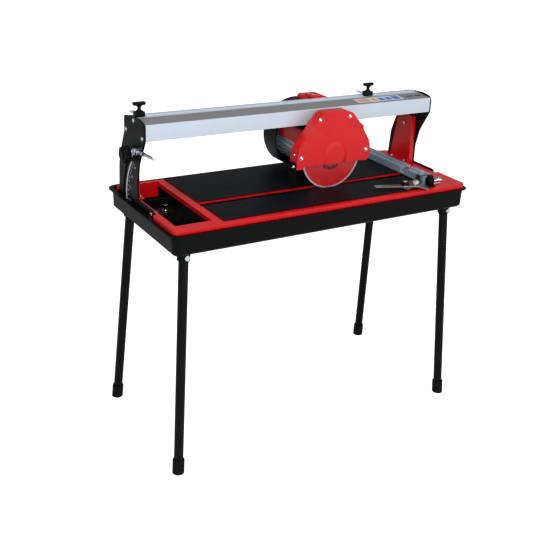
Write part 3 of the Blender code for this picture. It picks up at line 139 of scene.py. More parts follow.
@dataclass(frozen=True)
class Finish:
    """One real surface: its colour, gloss, and the relief that its making leaves.

    Attributes:
        name: What the surface is, in a maker's words.
        colour: sRGB hex colour.
        roughness: Middle value of the gloss.
        metallic: One for bare metal.
        ior: Index of refraction of the outer skin.
        coat: Share of clear lacquer on top.
        specular: Strength of the mirror part of the skin.
        grain: Direction of the fine texture.
        grain_mm: Spacing of the fine texture.
        relief_mm: Height of the fine texture.
        mottle: Share by which the colour varies over a hand's width.
        spread: How far the roughness strays from its middle value.
        speckle: Second colour, of grit or dust, or nothing.
        speckle_mm: Spacing of the grit.
        speckle_share: How much of the surface the grit takes.
    """

    name: str
    colour: str
    roughness: float
    metallic: float = 0.0
    ior: float = 1.5
    coat: float = 0.0
    specular: float = 0.5
    grain: Grain = Grain.EVEN
    grain_mm: float = 1.5
    relief_mm: float = 0.03
    mottle: float = 0.06
    spread: float = 0.05
    speckle: Optional[str] = None
    speckle_mm: float = 1.6
    speckle_share: float = 0.2

    def material(self) -> bpy.types.Material:
        """Build the material once and hand out the same one afterwards.

        Returns:
            The procedural material of this finish.
        """
        found = bpy.data.materials.get(self.name)
        if found is not None:
            return found
        material = bpy.data.materials.new(self.name)
        material.use_nodes = True
        tree = material.node_tree
        shader = tree.nodes["Principled BSDF"]
        shader.inputs["Metallic"].default_value = self.metallic
        if self.metallic < 0.5:
            shader.inputs["IOR"].default_value = self.ior
            shader.inputs["Specular IOR Level"].default_value = self.specular
        shader.inputs["Coat Weight"].default_value = self.coat
        shader.inputs["Coat Roughness"].default_value = LACQUER_ROUGHNESS
        place = add_node(tree, "ShaderNodeTexCoord").outputs["Object"]
        colour = self.tint(tree, place)
        tree.links.new(colour, shader.inputs["Base Color"])
        pitch = 1000.0 / self.grain_mm
        fine_place = add_node(tree, "ShaderNodeMapping", {
            "Vector": place, "Scale": tuple(pitch * share for share in self.grain.value)})
        fine = add_node(tree, "ShaderNodeTexNoise", {
            "Vector": fine_place.outputs["Vector"], "Scale": 1.0, "Detail": 3.0, "Roughness": 0.55})
        patches = add_node(tree, "ShaderNodeTexNoise", {
            "Vector": place, "Scale": 1000.0 / PATCH_MM, "Detail": 4.0})
        blend = add_node(tree, "ShaderNodeMath", {
            0: fine.outputs["Fac"], 1: patches.outputs["Fac"]}, operation="ADD")
        gloss = add_node(tree, "ShaderNodeMapRange", {
            "Value": blend.outputs[0], "From Min": 0.6, "From Max": 1.4,
            "To Min": max(0.03, self.roughness - self.spread), "To Max": self.roughness + self.spread})
        tree.links.new(gloss.outputs["Result"], shader.inputs["Roughness"])
        bump = add_node(tree, "ShaderNodeBump", {
            "Height": fine.outputs["Fac"], "Distance": self.relief_mm / 1000.0, "Strength": 1.0})
        tree.links.new(bump.outputs["Normal"], shader.inputs["Normal"])
        return material

    def tint(self, tree: Tree, place: Socket) -> Socket:
        """Vary the colour over the surface, with its grit if it has any.

        Args:
            tree: Node tree of the material.
            place: Object coordinates.

        Returns:
            The colour output.
        """
        base = linear(self.colour)
        dark = tuple(c * (1.0 - self.mottle) for c in base[:3]) + (1.0,)
        light = tuple(min(1.0, c * (1.0 + self.mottle)) for c in base[:3]) + (1.0,)
        broad = add_node(tree, "ShaderNodeTexNoise", {
            "Vector": place, "Scale": 1000.0 / BROAD_MM, "Detail": 3.0})
        mixed = add_node(tree, "ShaderNodeMix", {
            "Factor": broad.outputs["Fac"], "A": dark, "B": light}, data_type="RGBA")
        colour = mixed.outputs["Result"]
        if self.speckle is None:
            return colour
        grit = add_node(tree, "ShaderNodeTexVoronoi", {"Vector": place, "Scale": 1000.0 / self.speckle_mm})
        chosen = add_node(tree, "ShaderNodeMapRange", {
            "Value": grit.outputs["Color"], "From Min": 1.0 - self.speckle_share, "From Max": 1.0,
            "To Min": 0.0, "To Max": 1.0})
        spotted = add_node(tree, "ShaderNodeMix", {
            "Factor": chosen.outputs["Result"], "A": colour, "B": linear(self.speckle)}, data_type="RGBA")
        return spotted.outputs["Result"]


@dataclass(frozen=True)
class RailFinish(Finish):
    """Anodised extrusion whose upper slope carries a darker matt strip.

    Attributes:
        slope: sRGB hex colour of the strip.
        slope_from_y: Place across the rail where the strip starts.
        slope_to_y: Place where it ends.
        blur: Width of its soft edge.
    """

    slope: str = "#8A8A8D"
    slope_from_y: float = 0.0
    slope_to_y: float = 0.1
    blur: float = 0.001

    def tint(self, tree: Tree, place: Socket) -> Socket:
        """Add the dark strip where the surface looks up, between two places across the rail.

        Args:
            tree: Node tree of the material.
            place: Object coordinates.

        Returns:
            The colour output.
        """
        plain = Finish.tint(self, tree, place)
        parts = add_node(tree, "ShaderNodeSeparateXYZ", {0: place})
        facing = add_node(tree, "ShaderNodeTexCoord").outputs["Normal"]
        upward = add_node(tree, "ShaderNodeSeparateXYZ", {0: facing})
        looks_up = add_node(tree, "ShaderNodeMapRange", {
            "Value": upward.outputs["Z"], "From Min": 0.80, "From Max": 0.95})
        after = add_node(tree, "ShaderNodeMapRange", {
            "Value": parts.outputs["Y"], "From Min": self.slope_from_y,
            "From Max": self.slope_from_y + self.blur})
        before = add_node(tree, "ShaderNodeMapRange", {
            "Value": parts.outputs["Y"], "From Min": self.slope_to_y, "From Max": self.slope_to_y + self.blur,
            "To Min": 1.0, "To Max": 0.0})
        both = add_node(tree, "ShaderNodeMath", {
            0: after.outputs["Result"], 1: before.outputs["Result"]}, operation="MULTIPLY")
        mask = add_node(tree, "ShaderNodeMath", {
            0: both.outputs[0], 1: looks_up.outputs["Result"]}, operation="MULTIPLY")
        drawn_out = add_node(tree, "ShaderNodeMapping", {"Vector": place, "Scale": (3.0, 400.0, 400.0)})
        streaks = add_node(tree, "ShaderNodeTexNoise", {
            "Vector": drawn_out.outputs["Vector"], "Scale": 1.0, "Detail": 2.0})
        slope = linear(self.slope)
        worn = add_node(tree, "ShaderNodeMix", {
            "Factor": streaks.outputs["Fac"], "A": tuple(c * 0.8 for c in slope[:3]) + (1.0,), "B": slope},
            data_type="RGBA")
        mixed = add_node(tree, "ShaderNodeMix", {
            "Factor": mask.outputs[0], "A": plain, "B": worn.outputs["Result"]}, data_type="RGBA")
        return mixed.outputs["Result"]


# The grain of every sprayed, moulded or ground skin is finer in truth, and is drawn coarse enough to show.
# Sprayed and baked polyester powder: thick and glossy, its orange-peel skin softens each highlight.
RED_POWDER = Finish("red_powder_coat", "#D00A12", 0.30, coat=0.08, specular=0.30, grain_mm=2.6,
                    relief_mm=0.035, mottle=0.07)
# The same powder in black, a little flatter, so that edges show as soft grey lines.
BLACK_POWDER = Finish("black_powder_coat", "#050607", 0.40, specular=0.12, grain_mm=2.2, relief_mm=0.04,
                      mottle=0.20)
# Pressed and sprayed tray: the same black over a slightly wavy sheet.
TRAY_POWDER = Finish("tray_black_powder_coat", "#040505", 0.38, specular=0.10, grain_mm=3.4, relief_mm=0.05,
                     mottle=0.25, speckle="#0D0F10", speckle_mm=5.0, speckle_share=0.10)
# Grit-filled non-slip coating: blue-black and nearly matt, with fine pale grains.
SLATE_COATING = Finish("slate_grit_coating", "#070A10", 0.50, specular=0.10, grain_mm=1.1, relief_mm=0.05,
                       mottle=0.18, speckle="#1B242C", speckle_mm=1.5, speckle_share=0.16)
# Glass-filled ABS from a spark-eroded mould: an even, dull sheen.
BLACK_ABS = Finish("moulded_black_abs", "#060708", 0.46, specular=0.15, grain_mm=0.9, relief_mm=0.05,
                   mottle=0.12)
# Moulded rubber: dull and even, greyer where it is rubbed.
RUBBER = Finish("moulded_rubber", "#0A0A0A", 0.80, ior=1.52, specular=0.15, grain_mm=1.2, relief_mm=0.05,
                mottle=0.22)
# Nickel and chrome plate on turned steel: sharp, bright reflections.
CHROME = Finish("bright_chrome_plate", "#D9DBDE", 0.10, metallic=1.0, grain_mm=3.0, relief_mm=0.004,
                mottle=0.04, spread=0.03)
# Zinc-plated steel fasteners: paler and softer than chrome, with a bluish cast.
ZINC = Finish("zinc_plated_steel", "#C5CBD2", 0.26, metallic=1.0, grain_mm=1.0, relief_mm=0.01, mottle=0.10)
# Rolled strip ground along its length: fine streaks and a few darker stains.
GROUND_STEEL = Finish("ground_steel_strip", "#A9A6A2", 0.30, metallic=1.0, grain=Grain.ALONG_X, grain_mm=0.7,
                      relief_mm=0.012, mottle=0.12, speckle="#6E6A64", speckle_mm=7.0, speckle_share=0.10)
# Die-cast aluminium as it leaves the die: blue-grey, dull and faintly pitted.
CAST_ALUMINIUM = Finish("cast_aluminium", "#A9BCCB", 0.40, metallic=0.5, grain_mm=2.0, relief_mm=0.07,
                        mottle=0.14)
# Extruded and satin-anodised aluminium: soft sheen with fine die lines along it.
STOP_RAIL_ALUMINIUM = Finish("anodised_stop_rail", "#94AABD", 0.38, metallic=0.3, grain=Grain.ALONG_Y,
                             grain_mm=0.8, relief_mm=0.012, mottle=0.08)
# Satin-anodised flat strip, as pale as the rail that it lies on.
SATIN_ALUMINIUM = Finish("satin_anodised_strip", "#C9D3E0", 0.42, metallic=0.2, grain=Grain.ALONG_Y,
                         grain_mm=0.9, relief_mm=0.012, mottle=0.05)
# Screen-printed ink: flat and even, dull beside the lacquer or metal under it.
WHITE_PRINT = Finish("white_scale_print", "#E6EAF0", 0.45, grain_mm=2.0, relief_mm=0.01, mottle=0.03)
PALE_PRINT = Finish("pale_tick_print", "#B9C4CE", 0.50, grain_mm=2.0, relief_mm=0.01, mottle=0.05)
# The same black ink also serves as painted shade for the slots at the guide rail's end.
BLACK_PRINT_AND_SHADE = Finish("black_print_and_painted_shade", "#111213", 0.50, grain_mm=2.0, relief_mm=0.01, mottle=0.05)
# Printed vinyl film: smooth, with a low sheen and clear, slightly washed-out colours.
LABEL_WHITE = Finish("vinyl_label_white", "#DDE3EA", 0.40, grain_mm=4.0, relief_mm=0.01, mottle=0.03)
LABEL_ROSE = Finish("vinyl_label_rose", "#D79A9C", 0.40, grain_mm=4.0, relief_mm=0.01, mottle=0.03)
LABEL_YELLOW = Finish("vinyl_label_yellow", "#C9A63A", 0.40, grain_mm=4.0, relief_mm=0.01, mottle=0.03)
LABEL_BLUE = Finish("vinyl_label_blue", "#3F6FB5", 0.40, grain_mm=4.0, relief_mm=0.01, mottle=0.05)
# Moulded acrylic: glassy, with crisp highlights over a deep colour.
RED_ACRYLIC = Finish("red_acrylic", "#C01018", 0.22, coat=0.3, grain_mm=4.0, relief_mm=0.01, mottle=0.04)
# Moulded button plastic: smooth, with a broad soft highlight.
GREEN_BUTTON = Finish("moulded_green_plastic", "#1E8A3C", 0.34, grain_mm=1.0, relief_mm=0.02, mottle=0.05)
# Blade core: thin steel disc under a satin red lacquer.
BLADE_LACQUER = Finish("blade_red_lacquer", "#C4141B", 0.34, coat=0.2, grain_mm=1.4, relief_mm=0.012,
                       mottle=0.08)
# Sintered diamond rim: matt grey metal with fine grit.
DIAMOND_RIM = Finish("sintered_diamond_rim", "#C4C4C2", 0.45, metallic=0.4, grain_mm=0.8, relief_mm=0.06,
                     mottle=0.10, speckle="#5F5E5B", speckle_mm=0.9, speckle_share=0.3)


# ---------------------------------------------------------------- mesh helpers
def placed(name: str, data: Any) -> Piece:
    """Put new object data into the scene.

    Args:
        name: Name of the object.
        data: Its mesh, curve, light or camera.

    Returns:
        The new object.
    """
    holder = bpy.data.objects.new(name, data)
    bpy.context.scene.collection.objects.link(holder)
    return holder


def joint_place(name: str) -> Vector:
    """A point on a joint's axis, at rest."""
    return Vector(next(joint for joint in frame["joints"] if joint["name"] == name)["pos_m"])


def settle(mesh: Mesh, name: str, body: str, finish: Finish, turn_outwards: bool = True) -> Piece:
    """Make a finished mesh an object at the origin, dress it and hang it on a body.

    Args:
        mesh: The finished mesh, in the model's frame. It is freed.
        name: Name of the piece.
        body: Body that the piece moves with.
        finish: Surface of the piece.
        turn_outwards: Whether the mesh is welded and its faces turned outwards first.

    Returns:
        The new object.
    """
    if turn_outwards:
        bmesh.ops.remove_doubles(mesh, verts=mesh.verts, dist=WELD)
        bmesh.ops.recalc_face_normals(mesh, faces=mesh.faces)
    data = bpy.data.meshes.new(name)
    mesh.to_mesh(data)
    mesh.free()
    data.shade_smooth()
    data.set_sharp_from_angle(angle=math.radians(SMOOTH_BELOW))
    data.materials.append(finish.material())
    piece = placed(name, data)
    normals = piece.modifiers.new("face_weighted_normals", "WEIGHTED_NORMAL")
    normals.keep_sharp = True
    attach(piece, body)
    return piece


def stands_for(piece: Piece, node: str) -> Piece:
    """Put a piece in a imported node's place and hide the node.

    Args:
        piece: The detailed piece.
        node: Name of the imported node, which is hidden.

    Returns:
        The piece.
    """
    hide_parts(node)
    return piece


def rounded(mesh: Mesh, edges: Iterable[bmesh.types.BMEdge], radius: float, segments: int = 2) -> None:
    """Round edges of a mesh.

    Args:
        mesh: The mesh to change.
        edges: Its edges to round.
        radius: Radius of the rounding.
        segments: Steps of the rounding.
    """
    bmesh.ops.bevel(mesh, geom=list(edges), offset=radius, offset_type="OFFSET", segments=segments,
                    profile=0.5, affect="EDGES", clamp_overlap=True, material=-1)


def softened(node: str, body: str, finish: Finish, radius_mm: float = 0.6, segments: int = 2) -> Piece:
    """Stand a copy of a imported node, with its edges broken as on the real part, in the node's place.

    Args:
        node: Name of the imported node.
        body: Body that it belongs to.
        finish: Surface of the piece.
        radius_mm: Radius of the broken edges, or zero to leave them sharp.
        segments: Steps of each rounding.

    Returns:
        The new object.
    """
    mesh = bmesh.new()
    mesh.from_mesh(frame["nodes"][node].data)
    bmesh.ops.remove_doubles(mesh, verts=mesh.verts, dist=NODE_WELD)
    bmesh.ops.dissolve_limit(mesh, angle_limit=math.radians(FLAT_BELOW), verts=mesh.verts, edges=mesh.edges)
    bmesh.ops.recalc_face_normals(mesh, faces=mesh.faces)
    if radius_mm > 0.0:
        sharp = math.radians(BREAK_ABOVE)
        rounded(mesh, [e for e in mesh.edges if len(e.link_faces) == 2 and e.calc_face_angle() > sharp],
                radius_mm / 1000.0, segments)
    return stands_for(settle(mesh, node + "_finished", body, finish, turn_outwards=False), node)


def dressed(nodes: Iterable[str], finish: Finish) -> None:
    """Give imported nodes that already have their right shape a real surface.

    Args:
        nodes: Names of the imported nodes.
        finish: Their surface.
    """
    for node in nodes:
        data = frame["nodes"][node].data
        data.materials.clear()
        data.materials.append(finish.material())


def turn_to(mesh: Mesh, place: Sequence[float], direction: Sequence[float]) -> Mesh:
    """Turn a mesh made along +Z to a direction and move it to a place.

    Args:
        mesh: The mesh to change.
        place: Where its origin goes.
        direction: Where its +Z points.

    Returns:
        The same mesh.
    """
    turn = Vector(UP).rotation_difference(Vector(direction).normalized()).to_matrix().to_4x4()
    bmesh.ops.transform(mesh, matrix=Matrix.Translation(Vector(place)) @ turn, verts=mesh.verts)
    return mesh


def swing(mesh: Mesh, angle: float, axis: str, place: Sequence[float]) -> Mesh:
    """Turn a mesh about an axis through the origin and move it to a place.

    Args:
        mesh: The mesh to change.
        angle: The turn, in radians.
        axis: Letter of the axis.
        place: Where its origin goes.

    Returns:
        The same mesh.
    """
    bmesh.ops.rotate(mesh, cent=(0, 0, 0), matrix=Matrix.Rotation(angle, 3, axis), verts=mesh.verts)
    bmesh.ops.translate(mesh, vec=place, verts=mesh.verts)
    return mesh


def spun(profile: Sequence[tuple[float, float]], steps: int) -> Mesh:
    """Spin a profile of (radius, height) points round +Z into a closed body.

    Args:
        profile: Points from the lower end on the axis to its upper end on the axis, or a closed ring's.
        steps: Number of steps round the axis.

    Returns:
        The new mesh.
    """
    mesh = bmesh.new()
    corners = [mesh.verts.new((r, 0.0, h)) for r, h in profile]
    edges = [mesh.edges.new(pair) for pair in zip(corners, corners[1:])]
    if profile[0][0] > 0.0:
        edges.append(mesh.edges.new((corners[-1], corners[0])))
    bmesh.ops.spin(mesh, geom=corners + edges, cent=(0, 0, 0), axis=(0, 0, 1), dvec=(0, 0, 0),
                   angle=2 * math.pi, steps=steps, use_merge=True)
    bmesh.ops.remove_doubles(mesh, verts=mesh.verts, dist=WELD)
    bmesh.ops.recalc_face_normals(mesh, faces=mesh.faces)
    return mesh


def turned(profile: Sequence[tuple[float, float]], steps: int, place: Sequence[float],
           direction: Sequence[float] = UP) -> Mesh:
    """Spin a profile and stand it at a place, with its axis along a direction.

    Args:
        profile: Points of (radius, height), as for a spun body.
        steps: Number of steps round the axis.
        place: Where the axis starts.
        direction: Where it points.

    Returns:
        The new mesh.
    """
    return turn_to(spun(profile, steps), place, direction)


def block(low: Point, high: Point, radius: float = 0.0, segments: int = 2) -> Mesh:
    """Make a block between two corners with rounded edges.

    Args:
        low: Lowest corner.
        high: Highest corner.
        radius: Radius of the edges.
        segments: Steps of each rounding.

    Returns:
        The new mesh.
    """
    mesh = bmesh.new()
    bmesh.ops.create_cube(mesh, size=1.0)
    size = [h - l for l, h in zip(low, high)]
    bmesh.ops.scale(mesh, vec=size, verts=mesh.verts)
    bmesh.ops.translate(mesh, vec=[(l + h) / 2 for l, h in zip(low, high)], verts=mesh.verts)
    if radius > 0.0:
        rounded(mesh, mesh.edges, radius, segments)
    return mesh


def lobed(radius: float, depth: float, lobes: int, height: float, edge: float) -> Mesh:
    """Make a knob body with hollows round its rim, standing on the origin along +Z.

    Args:
        radius: Largest radius.
        depth: Depth of the hollows.
        lobes: Number of hollows.
        height: Height of the knob.
        edge: Rounding of the top and bottom edges.

    Returns:
        The new mesh.
    """
    mesh = bmesh.new()
    ring = bmesh.ops.create_circle(mesh, cap_ends=True, radius=radius, segments=lobes * 6)["verts"]
    for vert in ring:
        angle = math.atan2(vert.co.y, vert.co.x)
        vert.co *= 1.0 - depth / radius * (0.5 - 0.5 * math.cos(lobes * angle)) ** 1.5
    grown = bmesh.ops.extrude_face_region(mesh, geom=list(mesh.faces))
    top = [item for item in grown["geom"] if isinstance(item, bmesh.types.BMVert)]
    bmesh.ops.translate(mesh, vec=(0, 0, height), verts=top)
    bmesh.ops.recalc_face_normals(mesh, faces=mesh.faces)
    rims = [e for e in mesh.edges if e.calc_face_angle(0.0) > math.radians(60)]
    rounded(mesh, rims, edge, 3)
    return mesh


def joined(parts: Sequence[Mesh]) -> Mesh:
    """Put several meshes into one.

    Args:
        parts: The meshes, which are freed.

    Returns:
        The new mesh.
    """
    whole = bmesh.new()
    for part in parts:
        data = bpy.data.meshes.new("part")
        part.to_mesh(data)
        part.free()
        whole.from_mesh(data)
        bpy.data.meshes.remove(data)
    return whole


@dataclass
class DomedScrew:
    """A screw head with its washer.

    Attributes:
        radius: Radius of the head.
        height: Height of the head.
        washer: Radius of the washer, or zero for none.
        washer_thick: Thickness of the washer.
    """

    radius: float = 0.0045
    height: float = 0.0030
    washer: float = 0.0
    washer_thick: float = 0.0012

    def mesh(self, place: Sequence[float], direction: Sequence[float]) -> Mesh:
        """Make the head at a place, pointing away from the surface.

        Args:
            place: Point on the surface.
            direction: Outward direction.

        Returns:
            The head's mesh, with a round socket.
        """
        floor = 0.0
        parts = []
        if self.washer > 0.0:
            floor = self.washer_thick
            parts.append(spun([(0, 0), (self.washer, 0), (self.washer, 0.0008), (self.washer - 0.0004, floor),
                               (0, floor)], 24))
        r, h = self.radius, self.height
        parts.append(spun([(0, floor), (r, floor), (r, floor + 0.25 * h), (0.88 * r, floor + 0.65 * h),
                           (0.62 * r, floor + 0.92 * h), (0.42 * r, floor + h), (0.40 * r, floor + 0.45 * h),
                           (0, floor + 0.45 * h)], 18))
        return turn_to(joined(parts), place, direction)


def screws(name: str, body: str, places: Sequence[Point], direction: Point, kind: DomedScrew,
           finish: Finish = ZINC) -> Piece:
    """Set one kind of screw at several places as one piece."""
    return settle(joined([kind.mesh(place, direction) for place in places]), name, body, finish)


# ---------------------------------------------------------------- stand
@dataclass
class Stand:
    """Frame, plates, tray, legs, brackets and pump, which stay still.

    Attributes:
        body: Body of the stand.
        ribs: Number of ribs on the pump's strainer.
        rib_pitch: Distance from one rib to the next.
        bolt_inset: Distance of a bracket's bolts from its ends.
    """

    body: str = "stand"
    ribs: int = 7
    rib_pitch: float = 0.0026
    bolt_inset: float = 0.018

    def build(self) -> None:
        """Build every part of the stand."""
        softened("table_frame", self.body, RED_POWDER, 0.9)
        softened("water_tray", self.body, TRAY_POWDER, 1.1)
        for node in ("table_plate_back", "table_plate_front"):
            softened(node, self.body, SLATE_COATING, 0.7)
        for corner in CORNERS:
            softened("leg_" + corner, self.body, BLACK_POWDER, 0.0)
            softened("foot_" + corner, self.body, RUBBER, 1.2)
            softened("leg_bolt_" + corner, self.body, CHROME, 0.5)
        for side, _ in SIDES:
            softened("bracket_" + side, self.body, RED_POWDER, 0.7)
            softened("pivot_bolt_" + side, self.body, CHROME, 0.5)
        self.pump()
        self.fixings()

    def pump(self) -> None:
        """Dress the pump and give it a strainer and a lid seam."""
        softened("pump_body", self.body, BLACK_ABS, 1.4, 3)
        softened("pump_nozzle", self.body, CHROME, 0.4)
        dressed(["drain_plug"], RUBBER)
        low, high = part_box("pump_body")
        ribs = []
        for index in range(self.ribs):
            z = low.z + 0.005 + index * self.rib_pitch
            ribs.append(block((low.x + 0.010, low.y - 0.0008, z),
                              (high.x - 0.010, low.y + 0.0005, z + 0.0013), 0.0003, 1))
        settle(joined(ribs), "pump_strainer", self.body, BLACK_ABS)
        proud = 0.0006
        seam = block((low.x - proud, low.y - proud, high.z - 0.0075),
                     (high.x + proud, high.y + proud, high.z - 0.0055), 0.0005, 2)
        settle(seam, "pump_lid_seam", self.body, BLACK_ABS)

    def fixings(self) -> None:
        """Set the bracket bolts and the frame's fixing screws."""
        for side, sign in SIDES:
            low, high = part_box("bracket_" + side)
            foot_x = low.x + 0.006 if sign > 0 else high.x - 0.006
            foot_z = low.z + 0.003
            screws("bracket_bolts_" + side, self.body,
                   [(foot_x, y, foot_z) for y in (low.y + self.bolt_inset, high.y - self.bolt_inset)], UP,
                   DomedScrew(0.0035, 0.0028, 0.0052))
        low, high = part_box("table_frame")
        edge_y = low.y + 0.0075
        screws("frame_screws", self.body,
               [(x, edge_y, high.z) for x in (low.x + 0.016, high.x - 0.016)], UP,
               DomedScrew(0.0036, 0.0016), RED_POWDER)


# ---------------------------------------------------------------- stop rail and angle stop
@dataclass
class StopRail:
    """The grooved rail that tiles are pushed against, with its ruler and clamp.

    Attributes:
        body: Body of the stand.
        tick_mm: Distance from one tick to the next.
        gap: Half the ruler's gap at the line of the cut.
        edge: Distance of the ticks from the rail's side.
    """

    body: str = "stand"
    tick_mm: float = 10.0
    gap: float = 0.012
    edge: float = 0.0015

    def build(self) -> None:
        """Build the rail, its ruler, pointer and clamp."""
        softened("stop_rail", self.body, STOP_RAIL_ALUMINIUM, 0.6)
        softened("cut_pointer", self.body, RED_ACRYLIC, 0.6)
        softened("stop_rail_clamp", self.body, BLACK_ABS, 1.8, 3)
        self.ruler()
        self.clamp_hardware()

    def ruler(self) -> None:
        """Print ticks along the rail's right-hand top land."""
        low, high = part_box("stop_rail")
        cut = joint_place("head_tilt").y
        ticks = []
        count = int((high.y - low.y - 0.02) / (self.tick_mm / 1000.0))
        for index in range(count):
            y = low.y + 0.012 + index * self.tick_mm / 1000.0
            if abs(y - cut) < self.gap:
                continue
            reach = 0.0085 if index % 5 == 0 else 0.005
            ticks.append(block((high.x - self.edge - reach, y - 0.0004, high.z - 0.0002),
                               (high.x - self.edge, y + 0.0004, high.z + 0.00012)))
        settle(joined(ticks), "ruler_ticks", self.body, BLACK_PRINT_AND_SHADE)

    def clamp_hardware(self) -> None:
        """Make the grip, the chromed clamp screw and its strap at the rail's front end."""
        low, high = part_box("stop_rail_clamp")
        rail_low, rail_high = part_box("stop_rail")
        middle_y = (low.y + high.y) / 2
        grip = turn_to(lobed(0.0098, 0.0012, 8, 0.009, 0.0016),
                       ((low.x + high.x) / 2, middle_y, high.z - 0.0002), UP)
        settle(grip, "clamp_grip", self.body, BLACK_ABS)
        barrel = turned([(0, 0), (0.0062, 0), (0.0068, 0.0006), (0.0068, 0.0080), (0.0058, 0.0088),
                         (0.0044, 0.0090), (0.0044, 0.0150), (0.0078, 0.0156), (0.0086, 0.0166),
                         (0.0086, 0.0265), (0.0076, 0.0275), (0, 0.0275)], 28,
                        (high.x + 0.0004, middle_y, (low.z + high.z) / 2), RIGHT)
        strap = block((rail_low.x + 0.012, low.y + 0.002, rail_low.z + 0.0005),
                      (rail_high.x + 0.010, high.y - 0.003, rail_low.z + 0.0035), 0.0007, 2)
        settle(joined([barrel, strap]), "clamp_screw", self.body, CHROME)


@dataclass
class AngleStop:
    """Saddle, protractor, swinging arm and knurled knobs.

    Attributes:
        saddle_body: Body of the saddle.
        arm_body: Body of the arm.
        heading: Direction of the arm at rest, in degrees.
        grip_reach: Distance of the arm's grip from the pivot.
        tip_reach: Distance of the dimple at the arm's tip.
        rim: Radius of the protractor's ticks at their outer ends.
    """

    saddle_body: str = "angle_slide"
    arm_body: str = "angle_arm"
    heading: float = 162.7
    grip_reach: float = 0.033
    tip_reach: float = 0.110
    rim: float = 0.0395

    def build(self) -> None:
        """Build the angle stop."""
        softened("angle_stop_slide", self.saddle_body, GROUND_STEEL, 0.5)
        softened("angle_stop_arm", self.arm_body, GROUND_STEEL, 0.7)
        self.knurled("angle_stop_knob", "angle_lock", 0.0105, 20)
        softened("slide_knob", "slide_lock", STOP_RAIL_ALUMINIUM, 0.8)
        self.protractor_ticks()
        self.arm_details()

    def knurled(self, node: str, body: str, radius: float, teeth: int) -> None:
        """Stand a knurled chromed knob in a packed knob's place.

        Args:
            node: Packed knob.
            body: Body that it turns with.
            radius: Radius of the grip.
            teeth: Number of knurls.
        """
        low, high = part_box(node)
        x, y = (low.x + high.x) / 2, (low.y + high.y) / 2
        height = min(0.0115, high.z - low.z)
        grip = turn_to(lobed(radius, 0.0007, teeth, height * 0.72, 0.0011), (x, y, high.z - height), UP)
        cap = turned([(0, 0), (radius * 0.72, 0), (radius * 0.68, height * 0.16),
                      (radius * 0.42, height * 0.26), (0, height * 0.28)], 28, (x, y, high.z - height * 0.28))
        length = high.z - low.z - height * 0.5
        stem = turned([(0, 0), (radius * 0.30, 0), (radius * 0.30, length), (0, length)], 16, (x, y, low.z))
        stands_for(settle(joined([grip, cap, stem]), node + "_finished", body, CHROME), node)

    def protractor_ticks(self) -> None:
        """Print ticks round the protractor's rim."""
        pivot = joint_place("angle_arm_swing")
        top = pivot.z + 0.0015 + 0.003
        ticks = []
        for index in range(25):
            reach = 0.007 if index % 3 == 0 else 0.004
            tick = block((self.rim - reach, -0.0003, 0.0), (self.rim, 0.0003, 0.00012))
            ticks.append(swing(tick, math.radians(-50 + index * 10), "Z", (pivot.x, pivot.y, top)))
        settle(joined(ticks), "protractor_ticks", self.saddle_body, BLACK_PRINT_AND_SHADE)

    def arm_details(self) -> None:
        """Add the grip on its washer and screw, and the dimple at the arm's tip."""
        pivot = joint_place("angle_arm_swing")
        _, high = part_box("angle_stop_arm")
        heading = math.radians(self.heading)
        along = Vector((math.cos(heading), math.sin(heading), 0))
        place = pivot + along * self.grip_reach
        grip = turn_to(lobed(0.0115, 0.0010, 14, 0.0095, 0.0015), (place.x, place.y, high.z + 0.0012), UP)
        settle(grip, "arm_grip", self.arm_body, BLACK_ABS)
        rivet = turned([(0, 0), (0.0128, 0), (0.0128, 0.0011), (0.0040, 0.0012), (0.0040, 0.0112),
                        (0.0066, 0.0114), (0.0066, 0.0132), (0.0050, 0.0142), (0, 0.0144)], 24,
                       (place.x, place.y, high.z))
        tip = pivot + along * self.tip_reach
        dimple = turned([(0, 0), (0.0036, 0), (0.0030, 0.0008), (0, 0.0010)], 20, (tip.x, tip.y, high.z))
        settle(joined([rivet, dimple]), "arm_rivets", self.arm_body, CHROME)


